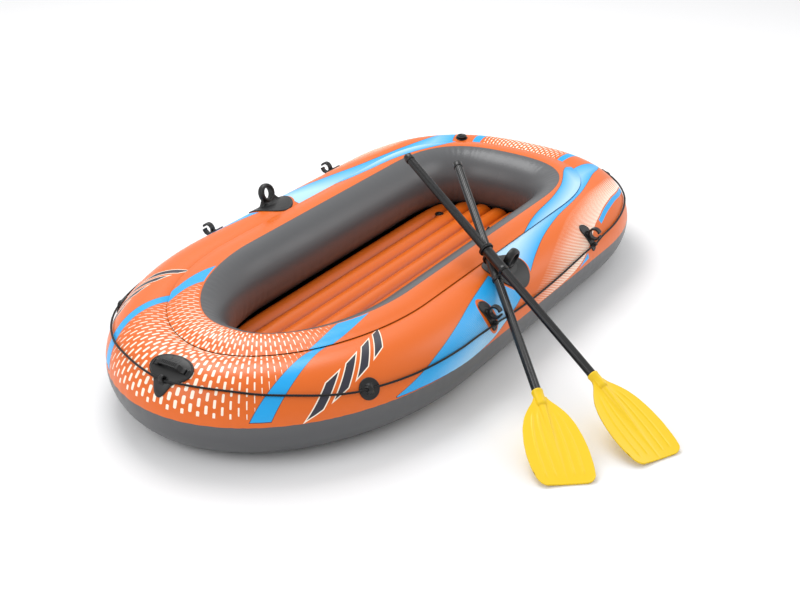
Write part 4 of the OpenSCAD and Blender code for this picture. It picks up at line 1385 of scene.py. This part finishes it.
def cap_piece():
    """Grip cap with a rounded end and a lip."""
    bm = bmesh.new()
    r, x0 = SHAFT_R + 1.5 * MM, -STOP_AT
    inside, outside = 4 * MM, 22 * MM
    profile = [(0, 0), (r * 0.6, 0.3 * MM), (r * 0.88, 1.3 * MM), (r, 3.6 * MM), (r, 20 * MM)]
    profile += [(r - 0.6 * MM, outside), (SHAFT_R, outside), (SHAFT_R, inside), (0, inside)]
    lathe(bm, [(radius, x0 + x) for radius, x in profile], 64, "X")
    return bm


def ring_piece():
    """Stop ring: two rounded lips with a narrow waist between them."""
    bm = bmesh.new()
    half, bore = STOP_T / 2, SHAFT_R + SLIDE_GAP
    profile = [(bore, -half), (STOP_R - 1.2 * MM, -half), (STOP_R, -half + 1 * MM)]
    profile += [(STOP_R, -half + 2 * MM)]
    profile += [(STOP_R - 2.4 * MM, -0.8 * MM), (STOP_R - 2.4 * MM, 0.8 * MM), (STOP_R, half - 2 * MM)]
    profile += [(STOP_R, half - 1 * MM), (STOP_R - 1.2 * MM, half), (bore, half)]
    lathe(bm, profile, 72, "X")
    return bm


def ferrule_piece():
    """Joining sleeve: a flange at each end, a waist and long flats between ribs."""
    bm = bmesh.new()
    bore, r = SHAFT_R + SLIDE_GAP, FERRULE_R
    x0, x1 = FERRULE_START, FERRULE_START + FERRULE_LENGTH
    body = r - 0.9 * MM
    profile = [(bore, x0), (r - 0.5 * MM, x0), (r, x0 + 0.6 * MM), (r, x0 + 4 * MM)]
    profile += [(body, x0 + 5 * MM), (body, x0 + 12 * MM), (body, x1 - 14 * MM)]
    profile += [(body, x1 - 8 * MM), (r, x1 - 7 * MM), (r, x1 - 5 * MM)]
    profile += [(body, x1 - 4.4 * MM), (body - 0.4 * MM, x1 - 1 * MM), (body - 1 * MM, x1), (bore, x1)]
    made = lathe(bm, profile, 96, "X")
    for v in made:
        radius = hypot(v.co.y, v.co.z)
        if body - 0.2 * MM < radius < body + 0.2 * MM and x0 + 11 * MM < v.co.x < x1 - 12 * MM:
            k = 1 - 0.05 * max(0.0, cos(6 * atan2(v.co.z, v.co.y))) ** 2
            v.co.y *= k
            v.co.z *= k
    return bm


def blade_half_width(u):
    """Half width of the blade as a share of its width, over its length from 0 to 1."""
    known = [0, 0.05, 0.12, 0.22, 0.34, 0.5, 0.66, 0.84, 1]
    width = [0.1, 0.15, 0.25, 0.355, 0.43, 0.48, 0.5, 0.49, 0.47]
    fine = np.linspace(0, 1, 201)
    coarse = np.interp(fine, known, width)
    kernel = np.hanning(25)
    padded = np.concatenate([np.full(12, coarse[0]), coarse, np.full(12, coarse[-1])])
    soft = np.convolve(padded, kernel / kernel.sum(), "valid")
    return np.interp(u, fine, soft)


def blade_piece():
    """A curved yellow blade: hollow socket, tapering central rib, bent ribs at its sides, thick rim."""
    bm = bmesh.new()
    length = BLADE_LENGTH - BLADE_ROOT
    grid = unit_grid(bm, 150, 96)
    u, v = grid[:, 0], grid[:, 1] * 2 - 1
    half = blade_half_width(u) * BLADE_WIDTH
    corner = 0.1
    short = 0.05 * (1 - v) / 2
    end = 1 - short
    past = np.clip((np.abs(v) - (1 - 0.36)) / 0.36, 0, 1)
    depth = np.where(v > 0, corner, corner * 1.5)
    x = u * length * (end - depth * (1 - np.sqrt(np.clip(1 - past**2, 0, 1))) * u**6)
    y = v * half
    w = np.abs(v) * half
    thick = BLADE_T / 2
    rib_r = (12 * (1 - u / 0.88)).clip(0) * MM
    rib = np.sqrt(np.clip(rib_r**2 - w**2, 0, None))
    fillet = 5 * MM * np.exp(-(w / np.maximum(rib_r + 3 * MM, 1 * MM)) ** 2) * (1 - u) ** 0.6
    height = np.maximum(rib, fillet)
    for near, far in ((0.36, 0.3), (0.62, 0.62)):
        centre = (near + (far - near) * u) * half
        side_rib = np.exp(-(((w - centre) / (2.6 * MM)) ** 2))
        run = np.clip((u - 0.16) / 0.08, 0, 1) * np.clip((0.93 - u) / 0.05, 0, 1)
        height = height + 1.9 * MM * side_rib * run
    rim = np.clip((np.abs(v) - 0.955) / 0.045, 0, 1) + np.clip((u - 0.975) / 0.025, 0, 1)
    edge = 0.8 * MM * np.clip(rim, 0, 1)
    camber = 5 * MM * np.abs(v) ** 2 * u - 1 * MM * u**2
    face_z = camber + thick + height * 0.9 + edge * 0.5
    back_z = camber - thick - height * 0.9 - edge * 0.5
    map_grid(bm, zip(x, y))
    move_verts(bm, np.stack([x, y, face_z], -1))
    made = bmesh.ops.extrude_face_region(bm, geom=bm.faces[:])["geom"]
    back = [g for g in made if isinstance(g, bmesh.types.BMVert)]
    tree = {(round(p[0], 7), round(p[1], 7)): z for p, z in zip(np.stack([x, y], -1), back_z)}
    for vert in back:
        vert.co.z = tree.get((round(vert.co.x, 7), round(vert.co.y, 7)), vert.co.z - 2 * thick)
    plate_verts = bm.verts[:]
    bmesh.ops.rotate(bm, verts=plate_verts, cent=(0, 0, 0), matrix=Matrix.Rotation(BLADE_TILT, 3, "Y"))
    shift(bm, plate_verts, SOCKET_START + BLADE_ROOT, 0, 0)
    x0, x1 = SOCKET_START, SOCKET_START + SOCKET_LENGTH
    bore = SHAFT_R + SLIDE_GAP
    socket = [(bore, x0), (SOCKET_R - 0.4 * MM, x0), (SOCKET_R, x0 + 1 * MM), (SOCKET_R, x0 + 5 * MM)]
    socket += [(SOCKET_R - 0.8 * MM, x0 + 6 * MM), (SOCKET_R - 1 * MM, x1 - 12 * MM)]
    socket += [(SOCKET_R - 3 * MM, x1 - 2 * MM)]
    socket += [(0, x1), (0, x1 - 3 * MM), (bore, x1 - 3 * MM)]
    verts = [bm.verts.new((r, 0, z)) for r, z in socket]
    edges = [bm.edges.new(pair) for pair in zip(verts, verts[1:]) if pair != (verts[7], verts[8])]
    edges.append(bm.edges.new((verts[-1], verts[0])))
    before = set(plate_verts)
    bmesh.ops.spin(
        bm, geom=verts + edges, cent=(0, 0, 0), axis=(0, 0, 1), angle=2 * pi, steps=64, use_merge=True
    )
    made = [vert for vert in bm.verts if vert not in before]
    bmesh.ops.rotate(bm, verts=made, cent=(0, 0, 0), matrix=Matrix.Rotation(pi / 2, 3, "Y"))
    bmesh.ops.remove_doubles(bm, verts=made, dist=1e-6)
    bmesh.ops.recalc_face_normals(bm, faces=bm.faces[:])
    return bm


def oar(which):
    """All the pieces of one oar."""
    rest = f"{which}_oar"
    grip = f"{which}_oar_handle"

    def part(bm, name, body, slot, material, node):
        dress(laid(bm, f"{rest}_{name}", which), body, slot, material, f"{rest}_{node}")

    part(cap_piece(), "cap", grip, "black_plastic", HARD_BLACK, "grip_cap")
    tube = bmesh.new()
    fluted(tube, 4 * MM - STOP_AT, HALF_JOINT)
    part(tube, "grip_tube", grip, "black_shaft", SHAFT_BLACK, "handle_shaft")
    part(ring_piece(), "ring", f"{rest}_stop", "black_plastic", HARD_BLACK, "stop_ring")
    part(ferrule_piece(), "sleeve", rest, "black_plastic", HARD_BLACK, "ferrule")
    tube = bmesh.new()
    fluted(tube, HALF_JOINT + 1 * MM, SOCKET_START + SOCKET_LENGTH - 5 * MM)
    part(tube, "lower_tube", rest, "black_shaft", SHAFT_BLACK, "blade_shaft")
    part(blade_piece(), "paddle", rest, "yellow_plastic", BLADE_YELLOW, "blade")


for which in OAR_LAY:
    oar(which)

# ---------------------------------------------------------------- stage


def add_stage():
    """A plain pale floor, flat and wide."""
    bm = bmesh.new()
    size = 9.0
    bmesh.ops.create_grid(bm, x_segments=1, y_segments=1, size=size)
    ground = finish_mesh(bm, "ground")
    finish = Finish("ground_paint", colour(246, 246, 247), 0.9, 0.2)
    finish.over(finish.grain(2, 2) * 0.03, colour(238, 238, 240))
    ground.data.materials.append(finish.done())


def add_light(name, at, towards, size, power):
    """A soft square light."""
    data = bpy.data.lights.new(name, "AREA")
    data.size = size
    data.energy = power
    light = bpy.data.objects.new(name, data)
    light.matrix_world = (
        Matrix.Translation(at) @ (Vector(at) - Vector(towards)).to_track_quat("Z", "Y").to_matrix().to_4x4()
    )
    bpy.context.collection.objects.link(light)


def add_sky(strength):
    """Even white light from all round."""
    world = bpy.data.worlds.new("studio")
    bpy.context.scene.world = world
    world.use_nodes = True
    sky = world.node_tree.nodes["Background"]
    sky.inputs["Color"].default_value = (1, 1, 1, 1)
    sky.inputs["Strength"].default_value = strength


add_stage()
add_light("key", (-0.9, -1.7, 3.6), (0, 0, 0.1), 2.2, 84)
add_light("fill", (3.4, -1.2, 2.6), (0, 0, 0.1), 2.2, 34)
add_light("back", (-2.6, 2.4, 2.4), (0, 0, 0.1), 2.0, 24)
add_sky(0.78)
bpy.context.scene.view_settings.view_transform = "Standard"
